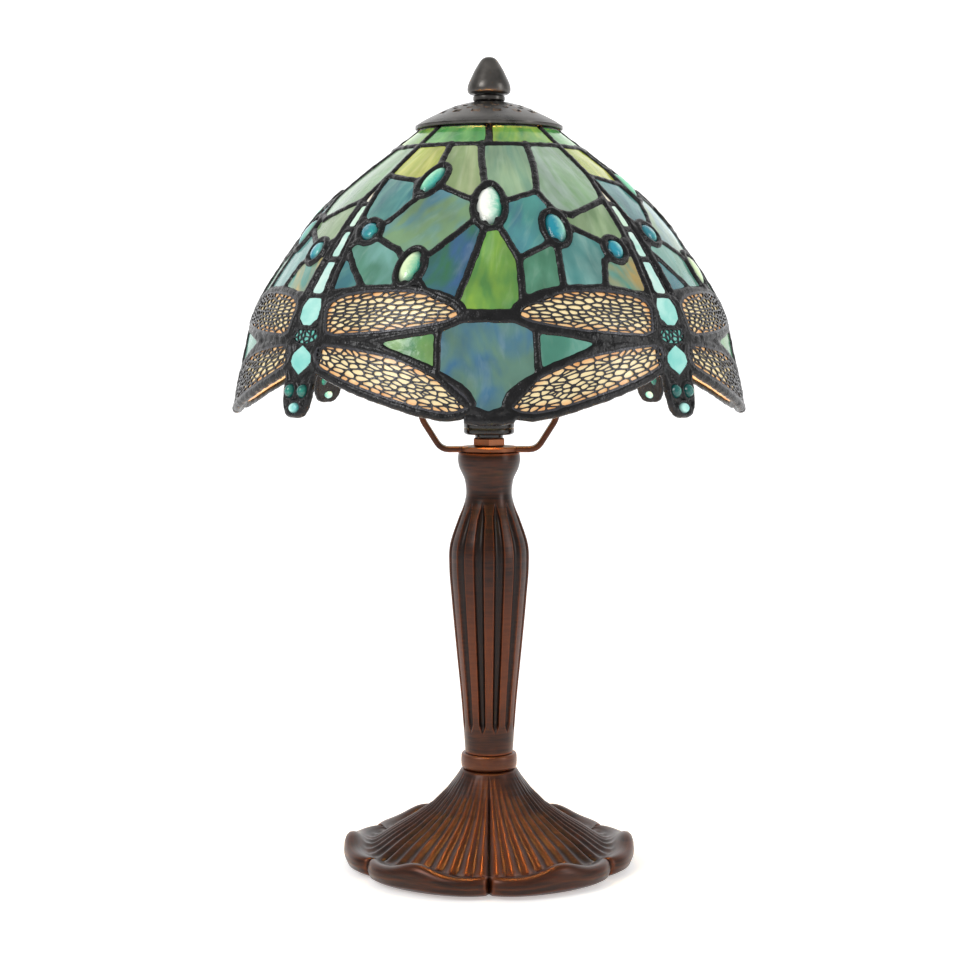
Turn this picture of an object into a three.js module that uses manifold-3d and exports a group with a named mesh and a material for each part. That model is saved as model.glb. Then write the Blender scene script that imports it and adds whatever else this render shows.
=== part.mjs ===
// Table lamp: a leaded-glass dragonfly shade on a fluted stem and a six-petal base.
// Millimetres, +Z up. The origin is the centre of the underside, and the front faces -Y.

import * as THREE from "three";
import { TessellateModifier } from "three/addons/modifiers/TessellateModifier.js";
import { mergeVertices } from "three/addons/utils/BufferGeometryUtils.js";
import Module from "manifold-3d";

const wasm = await Module();
wasm.setup();

// ---- Driving dimensions ----------------------------------------------------------------

const GAP = 0.3; // clearance between two pieces that rest on each other

const FELT_THICKNESS = 1.5;
const FELT_RADIUS = 59;

const BASE_RADIUS = 75;
const BASE_HEIGHT = 48;
const PETAL_COUNT = 6;
const PETAL_NOTCH_DEPTH = 6; // how far the outline draws in between two petals
const PETAL_BUMP_HEIGHT = 6; // upturned middle of each petal's lip

const ROD_RADIUS = 4.9;
const ROD_BORE_RADIUS = 3.2;
const ROD_CLEARANCE = 0.4;

const COLLAR_RADIUS = 14.5;
const COLLAR_HEIGHT = 8;

const STEM_LENGTH = 154.6;
const FLUTE_COUNT = 12;
const FLUTE_DEPTH = 1.6;
const FLUTE_START = 10; // the flutes run between these heights on the stem
const FLUTE_END = 128;

const HARP_THICKNESS = 2.8;
const HARP_WIDTH = 10;
const HARP_PLATE_RADIUS = 14.6;
const HARP_HALF_SPAN = 35;
const HARP_HEIGHT = 169.5; // from the underside of its plate to the top of its bar

const NUT_HEIGHT = 4.2;
const HARP_NUT_CORNERS = 18; // across corners

const HOLDER_RADIUS = 13; // body of a small-screw lampholder
const HOLDER_HEIGHT = 50;
const BULB_CAP_HEIGHT = 24;

const SHADE_RIM_HEIGHT = 231;
const CROWN_RING_HEIGHT = 134; // these three are measured up from the rim
const DOME_TOP_HEIGHT = 146.5;
const TAIL_TOP_HEIGHT = 114.5;
const GLASS_THICKNESS = 2.6;
const LEAD_THICKNESS = 4;
const SECTOR_COUNT = 4; // one dragonfly to each sector
const CROWN_COUNT = 8;

const CAP_RADIUS = 37.5;
const CAP_RIM_HEIGHT = 377.4;
const CAP_HEIGHT = 14;
const CAP_WALL = 1.5;
const CAP_CROWN_THICKNESS = 2; // the flat round the cap's hole
const VENT_SLOT_COUNT = 16;
const SEAT_WASHER_THICKNESS = 1.2;
const STUD_RADIUS = 3;
const FINIAL_COLLAR_HEIGHT = 3.3;

const CABLE_RADIUS = 2.5;
const CABLE_END = 200; // distance behind the lamp's axis at which the cable is cut
const CABLE_BEND_RADIUS = 14.7; // where it turns from the rod towards the back
const BUSH_RADIUS = 3.3;
const BUSH_LENGTH = 9;
const SWITCH_DISTANCE = 150;
const SWITCH_SIZE = { length: 56, width: 25, height: 15, wall: 2 };
const ROCKER = { width: 11, halfLength: 9, pivotHeight: 12.6, tilt: 8 }; // tilt in degrees from level

// ---- Heights that follow from them -----------------------------------------------------

const BASE_BOTTOM = FELT_THICKNESS + GAP;
const COLLAR_BOTTOM = BASE_BOTTOM + BASE_HEIGHT + GAP;
const STEM_BOTTOM = COLLAR_BOTTOM + COLLAR_HEIGHT + GAP;
const HARP_BOTTOM = STEM_BOTTOM + STEM_LENGTH + GAP;
const HARP_NUT_BOTTOM = HARP_BOTTOM + HARP_THICKNESS + GAP;
const HOLDER_BOTTOM = HARP_NUT_BOTTOM + NUT_HEIGHT + GAP;
const HARP_TOP = HARP_BOTTOM + HARP_HEIGHT;
const CONTACT_BOTTOM = HOLDER_BOTTOM + 23.2;
const CONTACT_HEIGHT = 2.5;
const BULB_BOTTOM = CONTACT_BOTTOM + CONTACT_HEIGHT + GAP;
const FINIAL_COLLAR_BOTTOM = CAP_RIM_HEIGHT + CAP_HEIGHT + GAP;
const CABLE_HEIGHT = BASE_BOTTOM + CABLE_RADIUS;
const ROD_HOLE_RADIUS = ROD_RADIUS + ROD_CLEARANCE;
const STUD_HOLE_RADIUS = STUD_RADIUS + GAP;
const SECTOR_ANGLE = 360 / SECTOR_COUNT;
const FULL_TURN = 2 * Math.PI;

// ---- Materials -------------------------------------------------------------------------

function finish(color, roughness, metalness) {
  return new THREE.MeshStandardMaterial({ color, roughness, metalness });
}

const bronze = finish(0x3d2318, 0.45, 0.8);
const copper = finish(0x6b3a20, 0.4, 0.85);
const gunmetal = finish(0x35312e, 0.45, 0.8);
const lead = finish(0x2c2a2b, 0.5, 0.7);
const steel = finish(0x8a8a88, 0.35, 0.9);
const castIron = finish(0x4a4a4a, 0.7, 0.7);
const felt = finish(0x1d1f1e, 0.95, 0);
const blackPlastic = finish(0x141416, 0.3, 0);
const ceramic = finish(0xd9d4c8, 0.5, 0);
const opalGlass = finish(0xf4efe2, 0.25, 0);
const crownGlass = finish(0x8fb56a, 0.25, 0);
const fieldGlass = finish(0x5f9488, 0.25, 0);
const beltGlass = finish(0x4f8a96, 0.25, 0);
const turquoiseGlass = finish(0x7fd3cb, 0.25, 0);
const wingGlass = finish(0xf2d9a4, 0.35, 0.2);

// ---- Shaping helpers -------------------------------------------------------------------

function piece(name, geometry, material, height = 0) {
  const mesh = new THREE.Mesh(geometry, material);
  mesh.name = name;
  mesh.position.z = height;
  return mesh;
}

// A solid of revolution about Z. The outline runs up the outside, from axis to axis.
function turned(outline, segments) {
  const points = outline.map(([radius, height]) => new THREE.Vector2(radius, height));
  return new THREE.LatheGeometry(points, segments).rotateX(Math.PI / 2);
}

// A solid of revolution with a hole through it. The outline closes on itself.
function turnedRing(outline, segments) {
  return turned([...outline, outline[0]], segments);
}

function washer(outerRadius, innerRadius, height, segments = 24) {
  const outline = [[innerRadius, 0], [outerRadius, 0], [outerRadius, height], [innerRadius, height]];
  return turnedRing(outline, segments);
}

function cylinder(radius, height, segments = 24) {
  return turned([[0, 0], [radius, 0], [radius, height], [0, height]], segments);
}

// A smooth outline through a few points, for turning.
function smoothOutline(points, divisions) {
  const curve = new THREE.SplineCurve(points.map(([radius, height]) => new THREE.Vector2(radius, height)));
  return curve.getPoints(divisions).map((point) => [point.x, point.y]);
}

function moveVertices(geometry, move) {
  const position = geometry.attributes.position;
  const vertex = new THREE.Vector3();
  for (let i = 0; i < position.count; i += 1) {
    vertex.fromBufferAttribute(position, i);
    move(vertex);
    position.setXYZ(i, vertex.x, vertex.y, vertex.z);
  }
  geometry.computeVertexNormals();
  return geometry;
}

function solidOf(geometry) {
  const bare = geometry.clone();
  bare.deleteAttribute("normal");
  bare.deleteAttribute("uv");
  const merged = mergeVertices(bare, 1e-4);
  return new wasm.Manifold(new wasm.Mesh({
    numProp: 3,
    vertProperties: new Float32Array(merged.attributes.position.array),
    triVerts: new Uint32Array(merged.index.array),
  }));
}

function geometryOf(solid) {
  const mesh = solid.getMesh();
  const geometry = new THREE.BufferGeometry();
  geometry.setAttribute("position", new THREE.BufferAttribute(mesh.vertProperties, 3));
  geometry.setIndex(new THREE.BufferAttribute(mesh.triVerts, 1));
  geometry.computeVertexNormals();
  return geometry;
}

function cut(geometry, tools) {
  const solid = tools.reduce((body, tool) => body.subtract(solidOf(tool)), solidOf(geometry));
  return geometryOf(solid);
}

function join(geometries) {
  return geometryOf(geometries.map(solidOf).reduce((body, next) => body.add(next)));
}

function hexNut(acrossCorners, boreRadius, height) {
  const nut = cylinder(acrossCorners / 2, height, 6);
  const bore = cylinder(boreRadius, height + 2, 24).translate(0, 0, -1);
  return cut(nut, [bore]);
}

// A block with rounded vertical edges, standing on Z = 0 and centred on X and Y.
function roundedBlock(width, length, height, cornerRadius) {
  const x = width / 2 - cornerRadius;
  const y = length / 2 - cornerRadius;
  const outline = new THREE.Shape();
  outline.absarc(x, y, cornerRadius, 0, Math.PI / 2);
  outline.absarc(-x, y, cornerRadius, Math.PI / 2, Math.PI);
  outline.absarc(-x, -y, cornerRadius, Math.PI, 1.5 * Math.PI);
  outline.absarc(x, -y, cornerRadius, 1.5 * Math.PI, FULL_TURN);
  return new THREE.ExtrudeGeometry(outline, { depth: height, bevelEnabled: false, curveSegments: 3 });
}

// ---- The dome that the shade's glass lies on -------------------------------------------

const domeRadius = new THREE.CubicInterpolant(
  [0, 31, 53, 77, 109.5, DOME_TOP_HEIGHT],
  [129.5, 123.2, 117.8, 104, 78, 32.2],
  1,
);

function domeRadiusAt(height) {
  return domeRadius.evaluate(height)[0];
}

// A point on the dome, by angle from the front in degrees, height above the rim, and
// distance out from the middle of the glass.
function domePoint(degrees, height, outward) {
  const inside = THREE.MathUtils.clamp(height, 0, DOME_TOP_HEIGHT);
  const step = 0.5;
  const slope = (domeRadiusAt(Math.min(inside + step, DOME_TOP_HEIGHT)) - domeRadiusAt(inside)) / step;
  const steepness = Math.hypot(1, slope);
  const radius = domeRadiusAt(inside) + outward / steepness;
  const angle = THREE.MathUtils.degToRad(degrees);
  const rise = -outward * slope / steepness;
  return new THREE.Vector3(radius * Math.sin(angle), -radius * Math.cos(angle), height + rise);
}

// Reads a value off a list of evenly spaced stations, for a position from 0 to 1.
function along(stations, position) {
  const place = THREE.MathUtils.clamp(position, 0, 1) * (stations.length - 1);
  const index = Math.min(Math.floor(place), stations.length - 2);
  return THREE.MathUtils.lerp(stations[index], stations[index + 1], place - index);
}

// A patch of the dome between two angles. Its lower and upper edges are heights above
// the rim, at stations spread evenly from one angle to the other.
function patch(from, to, low, high) {
  return { from, to, low, high };
}

function grown(area, margin) {
  const sideways = THREE.MathUtils.radToDeg(margin / domeRadiusAt(area.high[0]));
  return {
    from: area.from - sideways,
    to: area.to + sideways,
    low: area.low.map((height) => height - margin),
    high: area.high.map((height) => height + margin),
  };
}

function placeOn(area, across, up) {
  const degrees = THREE.MathUtils.lerp(area.from, area.to, across);
  return [degrees, THREE.MathUtils.lerp(along(area.low, across), along(area.high, across), up)];
}

// A slab bent to the dome over one patch, with enough facets to follow it both ways.
function domeSlab(area, columns, rows, thickness) {
  const slab = new THREE.BoxGeometry(1, 1, 1, columns, rows, 1);
  return moveVertices(slab, (vertex) => {
    const [degrees, height] = placeOn(area, vertex.x + 0.5, vertex.y + 0.5);
    vertex.copy(domePoint(degrees, height, vertex.z * thickness));
  });
}

// Places round the edge of a patch, anticlockwise, as [degrees, height] pairs.
function edgeOf(area, columns, rows) {
  const edge = [];
  for (let column = 0; column < columns; column += 1) {
    edge.push(placeOn(area, column / columns, 0));
  }
  for (let row = 0; row < rows; row += 1) {
    edge.push(placeOn(area, 1, row / rows));
  }
  for (let column = columns; column > 0; column -= 1) {
    edge.push(placeOn(area, column / columns, 1));
  }
  for (let row = rows; row > 0; row -= 1) {
    edge.push(placeOn(area, 0, row / rows));
  }
  return edge;
}

function shifted(edge, degrees) {
  return edge.map(([angle, height]) => [angle + degrees, height]);
}

function mirrored(edge) {
  return edge.map(([angle, height]) => [-angle, height]).reverse();
}

// A sheet is the dome laid flat as a disc, with the rim outside and the crown inside. Its
// outlines are cut out flat, split into small facets and then bent back up.
const SHEET_RADIUS = 200;
const FACET_LENGTH = 20;
const facets = new TessellateModifier(FACET_LENGTH, 16);

function onSheet([degrees, height]) {
  const angle = THREE.MathUtils.degToRad(degrees);
  const radius = SHEET_RADIUS - height;
  return new THREE.Vector2(radius * Math.sin(angle), -radius * Math.cos(angle));
}

function flatPlate(edge, bottom, top) {
  const shape = new THREE.Shape(edge.map(onSheet));
  const plate = new THREE.ExtrudeGeometry(shape, { depth: top - bottom, bevelEnabled: false });
  return plate.translate(0, 0, bottom);
}

function domeSheet(edge, openings, thickness) {
  const half = thickness / 2;
  const plate = flatPlate(edge, -half, half);
  const sheet = cut(plate, openings.map((opening) => flatPlate(opening, -thickness, thickness)));
  return moveVertices(facets.modify(sheet), (vertex) => {
    const degrees = THREE.MathUtils.radToDeg(Math.atan2(vertex.x, -vertex.y));
    const height = SHEET_RADIUS - Math.hypot(vertex.x, vertex.y);
    vertex.copy(domePoint(degrees, height, vertex.z));
  });
}

// ---- Outlines of the shade's glass, as patches -----------------------------------------
// Wing and body angles are measured from their dragonfly's own centre line. Field and belt
// angles are measured from the middle of a sector, halfway between two dragonflies.

const upperWing = patch(5.5, 39.5, [42, 41.5, 42, 45, 50], [55, 63, 64, 60, 54]);
const lowerWing = patch(5.5, 42, [23, 15.5, 9.5, 4, 5], [36.5, 33, 29, 22.5, 9]);
const WING_ROOT_END = 9; // the two wings of one side are joined as far out as this angle
const tail = patch(-2.2, 2.2, [62, 62], [TAIL_TOP_HEIGHT, TAIL_TOP_HEIGHT]);
const head = patch(-4.2, 4.2, [8, 4, 4, 8], [58, 59, 59, 58]);
const crown = patch(-20.2, 20.2, [CROWN_RING_HEIGHT + 2, CROWN_RING_HEIGHT + 2], [143.5, 143.5]);
const field = patch(
  -41.4,
  41.4,
  [62, 67.5, 67.5, 62, 55.5, 62, 67.5, 67.5, 62],
  [CROWN_RING_HEIGHT - 2, CROWN_RING_HEIGHT - 2],
);
const belt = patch(
  -30,
  30,
  [35.6, 32.8, 28.5, 19.5, 5.5, 19.5, 28.5, 32.8, 35.6],
  [38.8, 38.9, 41, 45.5, 50.5, 45.5, 41, 38.9, 38.8],
);

// Height of the scalloped lower edge, from a dragonfly's centre line to mid-sector.
const rimStations = [1, 3, 16.5, 13.3, 10.3, 7.3, 4.5, 1.8, 0.6, 0.8, 2];

function rimHeight(degreesFromDragonfly) {
  return along(rimStations, Math.abs(degreesFromDragonfly) / (SECTOR_ANGLE / 2));
}

// The outline of the two wings on a dragonfly's right-hand side, joined at their root.
function wingPairEdge(margin) {
  const stations = 5;
  const upper = grown(upperWing, margin);
  const lower = grown(lowerWing, margin);
  const rootEnd = WING_ROOT_END + margin / 2;
  const atRootEnd = (area, up) => placeOn(area, (rootEnd - area.from) / (area.to - area.from), up);
  const outwards = [...Array(stations + 1).keys()].map((station) => station / stations);
  const inwards = [...outwards].reverse();
  return [
    ...outwards.map((across) => placeOn(lower, across, 0)),
    ...inwards.slice(0, -1).map((across) => placeOn(lower, across, 1)),
    atRootEnd(lower, 1),
    atRootEnd(upper, 0),
    ...outwards.slice(1).map((across) => placeOn(upper, across, 0)),
    ...inwards.map((across) => placeOn(upper, across, 1)),
  ];
}

// ---- Base ------------------------------------------------------------------------------

// Angle from the middle of the nearest petal, as a fraction of half a petal: -1 to 1.
function petalPosition(x, y) {
  const turns = Math.atan2(x, -y) / FULL_TURN * PETAL_COUNT;
  return 2 * (turns - Math.floor(turns)) - 1;
}

const BASE_CAVITY_RADIUS = 57;
const BASE_HUB_UNDERSIDE = 28; // above the bottom of the base

function base() {
  const flareStart = 45;
  const lipUnderside = 6;
  const bumpWidth = 0.33;
  const outline = [
    [BASE_CAVITY_RADIUS, 0], [BASE_RADIUS - 4, 0], [BASE_RADIUS - 1, 1.5], [BASE_RADIUS, 5],
    [BASE_RADIUS - 1, 8.3], [BASE_RADIUS - 4, 9], [BASE_RADIUS - 8, 8.4], [58, 11.5], [50, 16.5],
    [40, 22], [30, 29], [22, 37], [16.5, 44.5], [14.3, BASE_HEIGHT],
    [ROD_HOLE_RADIUS, BASE_HEIGHT], [ROD_HOLE_RADIUS, BASE_HUB_UNDERSIDE],
    [15, BASE_HUB_UNDERSIDE], [28, 24], [46, 11.5], [BASE_CAVITY_RADIUS, 3.5],
  ];
  const casting = moveVertices(turnedRing(outline, 8 * PETAL_COUNT), (vertex) => {
    const radius = Math.hypot(vertex.x, vertex.y);
    const flare = Math.max(0, (radius - flareStart) / (BASE_RADIUS - flareStart));
    const offCentre = Math.abs(petalPosition(vertex.x, vertex.y));
    const drawnIn = radius > BASE_CAVITY_RADIUS ? PETAL_NOTCH_DEPTH * flare * offCentre ** 4 : 0;
    vertex.x *= 1 - drawnIn / radius;
    vertex.y *= 1 - drawnIn / radius;
    if (vertex.z > lipUnderside) {
      vertex.z += PETAL_BUMP_HEIGHT * flare ** 3 * Math.exp(-((offCentre / bumpWidth) ** 2));
    }
  });
  return piece("base", cut(casting, cableNotch()), bronze, BASE_BOTTOM);
}

// The way out for the cable, through the back of the base and open to its underside.
function cableNotch() {
  const radius = BUSH_RADIUS + GAP;
  const length = 30;
  const start = BASE_CAVITY_RADIUS - 5;
  const height = CABLE_HEIGHT - BASE_BOTTOM;
  const tunnel = cylinder(radius, length, 16).rotateX(-Math.PI / 2).translate(0, start, height);
  const mouth = new THREE.BoxGeometry(2 * radius, length, 2 * height)
    .translate(0, start + length / 2, 0);
  return [tunnel, mouth];
}

function baseWeight() {
  const outline = [[18, 0], [44, 0], [44, 4], [28, 14.5], [18, 14.5]];
  return piece("base_weight", turnedRing(outline, 32), castIron, BASE_BOTTOM + 7.2);
}

function baseFastening() {
  const washerThickness = 1.5;
  const washerBottom = BASE_BOTTOM + BASE_HUB_UNDERSIDE - GAP - washerThickness;
  const nutBottom = washerBottom - GAP - NUT_HEIGHT;
  return [
    piece("base_washer", washer(12, ROD_HOLE_RADIUS, washerThickness), steel, washerBottom),
    piece("base_nut", hexNut(HARP_NUT_CORNERS, ROD_HOLE_RADIUS, NUT_HEIGHT), steel, nutBottom),
  ];
}

function feltPad() {
  return piece("felt_pad", cylinder(FELT_RADIUS, FELT_THICKNESS, 36), felt);
}

// ---- Stem, collar ring and threaded rod ------------------------------------------------

function collarRing() {
  const edge = 1.5;
  const outline = [
    [ROD_HOLE_RADIUS, 0], [COLLAR_RADIUS - edge, 0], [COLLAR_RADIUS, edge],
    [COLLAR_RADIUS, COLLAR_HEIGHT - edge], [COLLAR_RADIUS - edge, COLLAR_HEIGHT],
    [ROD_HOLE_RADIUS, COLLAR_HEIGHT],
  ];
  return piece("collar_ring", turnedRing(outline, 32), copper, COLLAR_BOTTOM);
}

function stem() {
  const outside = smoothOutline([
    [12.3, 0], [14, 24], [17, 55], [20.5, 96], [20.3, 106], [16, 120], [11.8, 133],
    [12.6, 141], [15.4, 147.5], [16, STEM_LENGTH],
  ], 14);
  const outline = [[ROD_HOLE_RADIUS, 0], ...outside, [ROD_HOLE_RADIUS, STEM_LENGTH]];
  const fluted = moveVertices(turnedRing(outline, 4 * FLUTE_COUNT), (vertex) => {
    const radius = Math.hypot(vertex.x, vertex.y);
    const isOutside = radius > ROD_HOLE_RADIUS + 1;
    if (isOutside && vertex.z > FLUTE_START && vertex.z < FLUTE_END) {
      const hollow = (1 - Math.cos(FLUTE_COUNT * Math.atan2(vertex.y, vertex.x))) / 2;
      vertex.x *= 1 - FLUTE_DEPTH * hollow / radius;
      vertex.y *= 1 - FLUTE_DEPTH * hollow / radius;
    }
  });
  return piece("stem", fluted, bronze, STEM_BOTTOM);
}

function threadedRod() {
  const bottom = CABLE_HEIGHT + CABLE_BEND_RADIUS;
  const top = HOLDER_BOTTOM + 8;
  return piece("threaded_rod", washer(ROD_RADIUS, ROD_BORE_RADIUS, top - bottom, 16), steel, bottom);
}

// ---- Harp: the bent strip that carries the shade ---------------------------------------

// Moves an open path sideways by a distance, keeping its corners sharp.
function offsetPath(path, distance) {
  return path.map((point, index) => {
    const before = path[Math.max(index - 1, 0)];
    const after = path[Math.min(index + 1, path.length - 1)];
    const isStart = index === 0;
    const isEnd = index === path.length - 1;
    const incoming = (isStart ? after.clone().sub(point) : point.clone().sub(before)).normalize();
    const outgoing = isEnd ? incoming : after.clone().sub(point).normalize();
    const normal = new THREE.Vector2(incoming.y + outgoing.y, -incoming.x - outgoing.x).normalize();
    const stretch = normal.x * incoming.y - normal.y * incoming.x;
    return point.clone().addScaledVector(normal, distance / stretch);
  });
}

function withMirrorImage(path) {
  const otherSide = path.slice(1, -1).reverse().map((point) => new THREE.Vector2(-point.x, point.y));
  return [...path, ...otherSide];
}

function harp() {
  const half = HARP_THICKNESS / 2;
  const rightSide = [
    [0, half], [24.5, half], [HARP_HALF_SPAN, 17.8], [HARP_HALF_SPAN, 139], [12, HARP_HEIGHT - half],
    [0, HARP_HEIGHT - half],
  ].map(([x, z]) => new THREE.Vector2(x, z));
  const outline = new THREE.Shape(withMirrorImage(offsetPath(rightSide, half)));
  outline.holes.push(new THREE.Path(withMirrorImage(offsetPath(rightSide, -half))));
  const strip = new THREE.ExtrudeGeometry(outline, { depth: HARP_WIDTH, bevelEnabled: false })
    .translate(0, 0, -HARP_WIDTH / 2)
    .rotateX(Math.PI / 2);
  const rodHole = cylinder(ROD_HOLE_RADIUS, HARP_THICKNESS + 2).translate(0, 0, -1);
  const studHole = cylinder(STUD_HOLE_RADIUS, HARP_THICKNESS + 2, 16)
    .translate(0, 0, HARP_HEIGHT - HARP_THICKNESS - 1);
  const plate = cylinder(HARP_PLATE_RADIUS, HARP_THICKNESS, 32);
  return piece("harp", cut(join([strip, plate]), [rodHole, studHole]), copper, HARP_BOTTOM);
}

function harpFasteners() {
  const rivetLength = 4;
  const shoulderTop = rivetLength + 4.5;
  const studLength = 22.5;
  const studOutline = [
    [0, 0], [STUD_RADIUS, 0], [STUD_RADIUS, rivetLength], [9, rivetLength], [9, shoulderTop],
    [STUD_RADIUS, shoulderTop], [STUD_RADIUS, studLength], [0, studLength],
  ];
  return [
    piece("harp_nut", hexNut(HARP_NUT_CORNERS, ROD_HOLE_RADIUS, NUT_HEIGHT), copper, HARP_NUT_BOTTOM),
    piece("harp_stud", turned(studOutline, 16), steel, HARP_TOP + GAP - rivetLength),
  ];
}

// ---- Lampholder and bulb ---------------------------------------------------------------

function lampholder() {
  const wall = 1.8;
  const footHeight = 1.5;
  const baseHeight = 11.5;
  const baseFloor = 9;
  const lipRadius = 9.3;
  const foot = [
    [ROD_HOLE_RADIUS, 0], [7.2, 0], [7.2, footHeight], [HOLDER_RADIUS - 1, footHeight],
    [HOLDER_RADIUS, footHeight + 1], [HOLDER_RADIUS, baseHeight],
    [HOLDER_RADIUS - 3, baseHeight], [HOLDER_RADIUS - 3, baseFloor], [ROD_HOLE_RADIUS, baseFloor],
  ];
  const shellHeight = HOLDER_HEIGHT - baseHeight - GAP;
  const shell = [
    [HOLDER_RADIUS - wall, 0], [HOLDER_RADIUS, 0], [HOLDER_RADIUS, shellHeight - 1],
    [HOLDER_RADIUS - 1, shellHeight], [lipRadius, shellHeight], [lipRadius, shellHeight - wall],
    [HOLDER_RADIUS - wall, shellHeight - wall],
  ];
  const shellBottom = HOLDER_BOTTOM + baseHeight + GAP;
  const insulatorRadius = HOLDER_RADIUS - wall - GAP;
  return [
    piece("lampholder_base", turnedRing(foot, 24), blackPlastic, HOLDER_BOTTOM),
    piece("lampholder_shell", turnedRing(shell, 24), blackPlastic, shellBottom),
    piece("lampholder_insulator", cylinder(insulatorRadius, 10), ceramic, shellBottom + 1),
    piece("lampholder_contact", cylinder(3, CONTACT_HEIGHT, 12), copper, CONTACT_BOTTOM),
    piece("lampholder_screw_shell", washer(8.3, 7.4, 17), copper, CONTACT_BOTTOM + 4.5),
  ];
}

// A candle-shaped bulb with a 14 mm screw cap.
function bulb() {
  const threadRadius = 6.8;
  const capOutline = [
    [0, 0], [2.5, 0], [4, 3.5], [threadRadius, 5], [threadRadius, BULB_CAP_HEIGHT],
    [0, BULB_CAP_HEIGHT],
  ];
  const glassOutline = smoothOutline([
    [6.6, 0], [9, 5], [16, 17], [17.5, 27], [15, 43], [8.5, 62], [3.4, 73], [0, 77],
  ], 10);
  const glassBottom = BULB_BOTTOM + BULB_CAP_HEIGHT + GAP;
  return [
    piece("bulb_cap", turned(capOutline, 20), steel, BULB_BOTTOM),
    piece("bulb_glass", turned([[0, 0], ...glassOutline], 16), opalGlass, glassBottom),
  ];
}

// ---- Leaded shade ----------------------------------------------------------------------

function ringEdge(columns, heightAt) {
  const angles = [...Array(columns).keys()].map((column) => column * 360 / columns);
  return angles.map((degrees) => [degrees, heightAt(degrees)]);
}

function scallop(degrees) {
  return rimHeight(SECTOR_ANGLE / 2 - Math.abs(degrees % SECTOR_ANGLE));
}

// The network of lead that holds every piece of glass, with an opening for each.
function leading() {
  const openings = [ringEdge(36, () => DOME_TOP_HEIGHT)];
  for (let sector = 0; sector < SECTOR_COUNT; sector += 1) {
    const middle = sector * SECTOR_ANGLE;
    const dragonfly = middle + SECTOR_ANGLE / 2;
    openings.push(
      shifted(edgeOf(grown(field, GAP), 16, 4), middle),
      shifted(edgeOf(grown(belt, GAP), 16, 1), middle),
      shifted(edgeOf(grown(tail, GAP), 1, 3), dragonfly),
      shifted(edgeOf(grown(head, GAP), 3, 1), dragonfly),
      shifted(wingPairEdge(GAP), dragonfly),
      shifted(mirrored(wingPairEdge(GAP)), dragonfly),
    );
  }
  for (let index = 0; index < CROWN_COUNT; index += 1) {
    openings.push(shifted(edgeOf(grown(crown, GAP), 4, 1), (index + 0.5) * 360 / CROWN_COUNT));
  }
  return piece("shade_leading", domeSheet(ringEdge(80, scallop), openings, LEAD_THICKNESS), lead);
}

// A piece of the shade modelled at the front and turned to its place about the axis.
function shadePiece(name, geometry, material, degrees) {
  const mesh = piece(name, geometry, material);
  mesh.rotation.z = THREE.MathUtils.degToRad(degrees);
  return mesh;
}

function crownGlassPieces() {
  return [...Array(CROWN_COUNT).keys()].map((index) => {
    const pane = domeSlab(crown, 4, 1, GLASS_THICKNESS);
    return shadePiece(`crown_glass_${index + 1}`, pane, crownGlass, (index + 0.5) * 360 / CROWN_COUNT);
  });
}

function sectorGlass(sector) {
  const middle = sector * SECTOR_ANGLE;
  const dragonfly = middle + SECTOR_ANGLE / 2;
  const number = sector + 1;
  const slab = (area, columns, rows) => domeSlab(area, columns, rows, GLASS_THICKNESS);
  const sheet = (edge) => domeSheet(edge, [], GLASS_THICKNESS);
  return [
    shadePiece(`field_glass_${number}`, slab(field, 16, 4), fieldGlass, middle),
    shadePiece(`belt_glass_${number}`, slab(belt, 16, 1), beltGlass, middle),
    shadePiece(`dragonfly_tail_${number}`, slab(tail, 1, 3), turquoiseGlass, dragonfly),
    shadePiece(`dragonfly_head_${number}`, slab(head, 3, 1), turquoiseGlass, dragonfly),
    shadePiece(`right_wings_${number}`, sheet(wingPairEdge(0)), wingGlass, dragonfly),
    shadePiece(`left_wings_${number}`, sheet(mirrored(wingPairEdge(0))), wingGlass, dragonfly),
  ];
}

function leadedShade() {
  const shade = new THREE.Group();
  shade.position.z = SHADE_RIM_HEIGHT;
  shade.add(leading(), ...crownGlassPieces());
  for (let sector = 0; sector < SECTOR_COUNT; sector += 1) {
    shade.add(...sectorGlass(sector));
  }
  return shade;
}

// ---- Vent cap, seat washer and finial --------------------------------------------------

function ventCap() {
  const wallRadius = CAP_RADIUS - CAP_WALL;
  const outline = [
    [CAP_RADIUS, 0], [CAP_RADIUS, 1.8], [35, 3.4], [31, 5.6], [25.5, 8.3], [18, 11.6],
    [11, CAP_HEIGHT - 0.5], [8, CAP_HEIGHT], [STUD_HOLE_RADIUS, CAP_HEIGHT],
    [STUD_HOLE_RADIUS, CAP_HEIGHT - CAP_CROWN_THICKNESS], [10, CAP_HEIGHT - CAP_CROWN_THICKNESS],
    [17.2, 10.3], [24.8, 6.9], [30.2, 4.1], [wallRadius, 1.4], [wallRadius, 0],
  ];
  const slots = [...Array(VENT_SLOT_COUNT).keys()].map((index) => {
    const slot = new THREE.BoxGeometry(3.4, 1.7, 10).translate(0, -17, CAP_HEIGHT - 4);
    return slot.rotateZ(index * FULL_TURN / VENT_SLOT_COUNT);
  });
  return piece("vent_cap", cut(turnedRing(outline, 28), slots), gunmetal, CAP_RIM_HEIGHT);
}

function seatWasher() {
  const capUnderside = CAP_RIM_HEIGHT + CAP_HEIGHT - CAP_CROWN_THICKNESS;
  const ring = washer(9, STUD_HOLE_RADIUS, SEAT_WASHER_THICKNESS);
  return piece("seat_washer", ring, copper, capUnderside - GAP - SEAT_WASHER_THICKNESS);
}

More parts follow.
